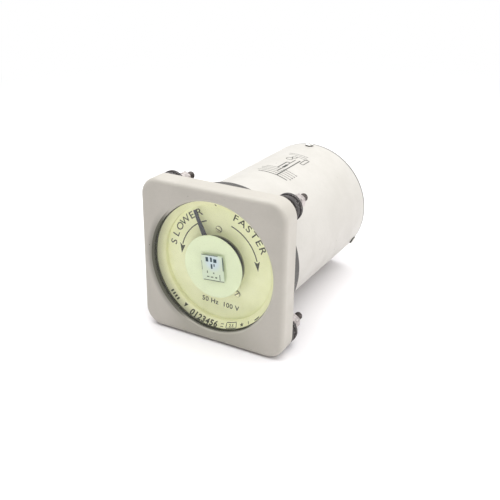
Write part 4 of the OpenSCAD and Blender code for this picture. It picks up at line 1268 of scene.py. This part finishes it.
class METER_OT_terminals(bpy.types.Operator):
    """Makes the threaded terminals, their nuts and washers, the numbers and the board's screws"""

    bl_idname = "meter.terminals"
    bl_label = "Terminals"

    def execute(self, context):
        metal = brass("terminal_brass", 0.55, 0.3, 3.27 * MM)
        dress(pressed_board("phenolic_board"), "terminal_board")
        radius = mount_sizes("terminals")["stud_r_mm"]
        bore, washer_end = radius + NUT_ROOM, BOARD_FACE + 0.65 * MM
        spots = [clock(turn, TERMINAL_RING) for turn in terminal_turns()]
        publish("terminal_stud_set", repeated(self.stud(radius), spots), metal, "brass", "terminal_studs")
        easing = 0.122 * MM
        washer = ring(bore, 2 * radius, BOARD_FACE, washer_end, easing, easing, 48, 2)
        hexagon = nut(SMALL_FLATS, high("terminal_nuts").y - washer_end, bore, TURN / 4, washer_end, 48)
        publish("terminal_nut_set", repeated(joined(washer, hexagon), spots), metal, "brass", "terminal_nuts")
        self.numbers()
        self.board_screws()
        rod_nuts = four_corners(high("rod_nuts").z - SMALL_FLATS / 2)
        nut_set("rod_nut_set", "rod_nuts", SMALL_FLATS, 1.55 * MM, TURN / 4, rod_nuts, zinc("rod_nut_zinc"), 48)
        return {"FINISHED"}

    def stud(self, radius):
        """Terminal with a collar inside the case and a thread outside the board."""
        root, board_back, chamfer = low("terminal_studs").y, low("terminal_board").y, 0.24 * MM
        collar = board_back - 2.61 * MM
        plain = turned([
            (0, root), (radius - chamfer, root), (radius, root + chamfer), (radius, collar), (2 * radius, collar),
            (2 * radius, board_back), (radius, board_back), (radius, BOARD_FACE), (0, BOARD_FACE),
        ], 40)
        pitch, end = hardware().terminal_pitch, high("terminal_studs").y
        return joined(plain, thread(radius, pitch, BOARD_FACE, end, steps=24, rows_a_turn=7))

    def numbers(self):
        """Figures 1 to 6 beside the terminals, read from behind."""
        figures = []
        out = (TERMINAL_RING + 3.27 * MM + high("terminal_board").x) / 2
        for k, turn in enumerate(terminal_turns()):
            figure = lettering(str(k + 1), 2.94 * MM, weight=0.016 * MM)
            place = Matrix.Translation(clock(turn, out, BOARD_FACE + sizes().ink_depth / 2))
            bmesh.ops.transform(figure, matrix=place @ about("Z", 180), verts=figure.verts)
            figures.append(figure)
        white = printed_ink("figure_white", (0.78, 0.77, 0.7))
        publish("terminal_numbers", joined(*figures), white, "dial_paint")

    def board_screws(self):
        """Slotted screws that hold the terminal board."""
        shank_end, top = ends("board_screws")
        head, slot, shank = 1.85 * MM, 0.49 * MM, 1.0 * MM
        screw = slotted_head(head, top - BOARD_FACE, 0, slot, shank, BOARD_FACE - shank_end)
        out = abs(low("board_screws").z) - head
        spots = [
            Matrix.Translation(clock(math.radians(turn), out, BOARD_FACE)) @ about("Z", 180) @ about("Y", slot_turn)
            for turn, slot_turn in ((60, 20), (180, 75), (300, -30))
        ]
        publish("board_screw_set", repeated(screw, spots), zinc("board_screw_zinc"), "zinc_steel", "board_screws")


class METER_OT_works(bpy.types.Operator):
    """Finishes the movement's frame, the stator and windings, and the parts on the component board"""

    bl_idname = "meter.works"
    bl_label = "Works inside"

    def execute(self, context):
        dress(blackened_steel("front_plate_black"), "front_plate")
        dress(brass("bush_brass", 0.6, 0.22), "front_bush", "jewel_screw", "jewel_locknut")
        dress(ruby("ring_jewel_ruby"), "front_jewel")
        dress(stacked_iron("stator_iron"), "stator_core", "choke_core")
        dress(wound_copper("pole_winding", True), "pole_coils")
        dress(wound_copper("axial_winding", False), "axial_coil", "choke_coil")
        dress(pressed_board("bobbin_phenolic"), "axial_bobbin", "component_board")
        rolled = plated_metal("rolled_aluminium", (0.72, 0.72, 0.71), (0.5, 0.5, 0.49), 0.34, 7.35 * MM, (1, 1, 6))
        dress(rolled, "bearing_plate", "coil_clamp", "capacitor")
        steel = plated_metal("rod_steel", (0.52, 0.51, 0.5), (0.33, 0.31, 0.29), 0.26, 4.9 * MM, (1, 5, 1))
        dress(steel, "tie_rods", "rod_spacers", "resistor_bolts")
        dress(zinc("small_nut_zinc"), "resistor_nuts")
        dress(vitreous_enamel("resistor_glaze"), "resistors")
        dress(sleeving("lead_sleeving"), "leads")
        return {"FINISHED"}


# ---------------------------------------------------------------- stage

def camera_axes(light):
    """The camera's right, up and backward directions."""
    yaw, pitch, roll = light.camera_yaw, light.camera_pitch, light.camera_roll
    back = Vector((math.sin(yaw) * math.cos(pitch), -math.cos(yaw) * math.cos(pitch), math.sin(pitch)))
    level = (-back).cross(Vector((0, 0, 1))).normalized()
    upright = level.cross(-back)
    right = math.cos(roll) * level + math.sin(roll) * upright
    up = -math.sin(roll) * level + math.cos(roll) * upright
    return right, up, back


def lamp(name, place, aim, size, power):
    """A large soft lamp that looks at a point."""
    data = bpy.data.lights.new(name, "AREA")
    data.shape, data.size, data.size_y, data.energy = "RECTANGLE", *size, power
    holder = placed(name, data)
    holder.location = place
    holder.rotation_euler = (aim - place).to_track_quat("-Z", "Y").to_euler()


class METER_OT_stage(bpy.types.Operator):
    """Sets the pale floor, the soft lamps, the white room and the camera"""

    bl_idname = "meter.stage"
    bl_label = "Floor, light and camera"

    def execute(self, context):
        scene = context.scene
        light = scene.meter_light
        scene.view_settings.view_transform = "Standard"
        self.floor()
        self.room(light)
        middle = Vector((0, 0.06, 0))
        lamp("lamp_above", middle + Vector((0.0, 0.05, 1.1)), middle, (2.0, 1.6), light.key)
        lamp("lamp_right", middle + Vector((1.0, 0.1, 0.3)), middle, (0.9, 0.9), light.side)
        self.camera(scene, light)
        return {"FINISHED"}

    def floor(self):
        """A wide floor under the bezel's edge and the rim of the case."""
        front, rear = Vector((0, 0, -HALF_SIDE)), Vector((0, CASE_END, -CASE_RADIUS))
        slope = math.atan2(rear.z - front.z, rear.y - front.y)
        mesh = bmesh.new()
        bmesh.ops.create_grid(mesh, x_segments=8, y_segments=8, size=4)
        floor = placed("pale_floor", as_data("pale_floor", mesh))
        floor.matrix_world = Matrix.Translation(front) @ Matrix.Rotation(slope, 4, "X")
        floor.data.materials.append(self.floor_paint())

    def floor_paint(self):
        """Pale matt floor that goes to white away from the meter."""
        finish = Finish("floor_paint", Roughness=0.8, Specular_IOR_Level=0.1)
        cloud = finish.noise(0.4, 3)
        tone = paints().floor
        finish.set(Base_Color=finish.mix(cloud.ramp(0.3, 0.7), tone, shade(tone, 0.985)))
        away = finish.reach((0, 0, 0)).ramp(0.2, 0.75)
        seen = Value(finish, finish.node("ShaderNodeLightPath").outputs["Is Camera Ray"])
        white = finish.node("ShaderNodeEmission", None, {"Color": (1, 1, 1), "Strength": 1.0})
        finish.feed(finish.output.inputs["Surface"], finish.blend(away * seen, finish.shader, white))
        return finish.material

    def room(self, light):
        """White to the camera and in reflections; a softer even light on everything else."""
        world = bpy.data.worlds.new("white_room")
        world.use_nodes = True
        bpy.context.scene.world = world
        tree = ShaderTree(world.node_tree)
        path = tree.node("ShaderNodeLightPath")
        camera, glossy, through = (
            Value(tree, path.outputs[f"Is {kind} Ray"]) for kind in ("Camera", "Glossy", "Transmission")
        )
        even = tree.node("ShaderNodeBackground", None, {"Color": (1, 1, 1), "Strength": light.room})
        white = tree.node("ShaderNodeBackground", None, {"Color": (1, 1, 1), "Strength": 1.0})
        output = tree.node("ShaderNodeOutputWorld")
        tree.feed(output.inputs["Surface"], tree.blend(camera + glossy + through, even, white))

    def camera(self, scene, light):
        """The camera, in front, to the right and above."""
        right, up, back = camera_axes(light)
        target = Vector((19.5, 0, 11.77)) * MM
        data = bpy.data.cameras.new("camera")
        data.sensor_width = 36
        data.lens = light.camera_lens
        data.clip_start, data.clip_end = 0.01, 20
        holder = placed("camera", data)
        place = target + back * light.camera_distance
        holder.matrix_world = Matrix.Translation(place) @ Matrix((right, up, back)).transposed().to_4x4()
        scene.camera = holder


class METER_PT_panel(bpy.types.Panel):
    """The meter's pieces and their sizes"""

    bl_label = "Synchroscope"
    bl_space_type = "VIEW_3D"
    bl_region_type = "UI"
    bl_category = "Synchroscope"

    def draw(self, context):
        for operator in OPERATORS:
            self.layout.operator(operator.bl_idname)
        for group in GROUPS:
            settings = getattr(context.scene, group)
            for key in settings.__annotations__:
                self.layout.prop(settings, key)


GROUPS = {"meter_print": DialPrint, "meter_hardware": Hardware, "meter_paints": Paints, "meter_light": Light}
OPERATORS = (
    METER_OT_stage, METER_OT_bezel, METER_OT_window, METER_OT_dial, METER_OT_pointer,
    METER_OT_case, METER_OT_fixings, METER_OT_terminals, METER_OT_works,
)
CLASSES = (*GROUPS.values(), *OPERATORS, METER_PT_panel)


def register():
    for item in CLASSES:
        bpy.utils.register_class(item)
    for name, group in GROUPS.items():
        setattr(bpy.types.Scene, name, bpy.props.PointerProperty(type=group))


def unregister():
    for name in GROUPS:
        delattr(bpy.types.Scene, name)
    for item in reversed(CLASSES):
        bpy.utils.unregister_class(item)


def main():
    """Builds everything in order."""
    register()
    for operator in OPERATORS:
        getattr(bpy.ops.meter, operator.bl_idname.split(".")[1])()


if __name__ == "__main__":
    main()
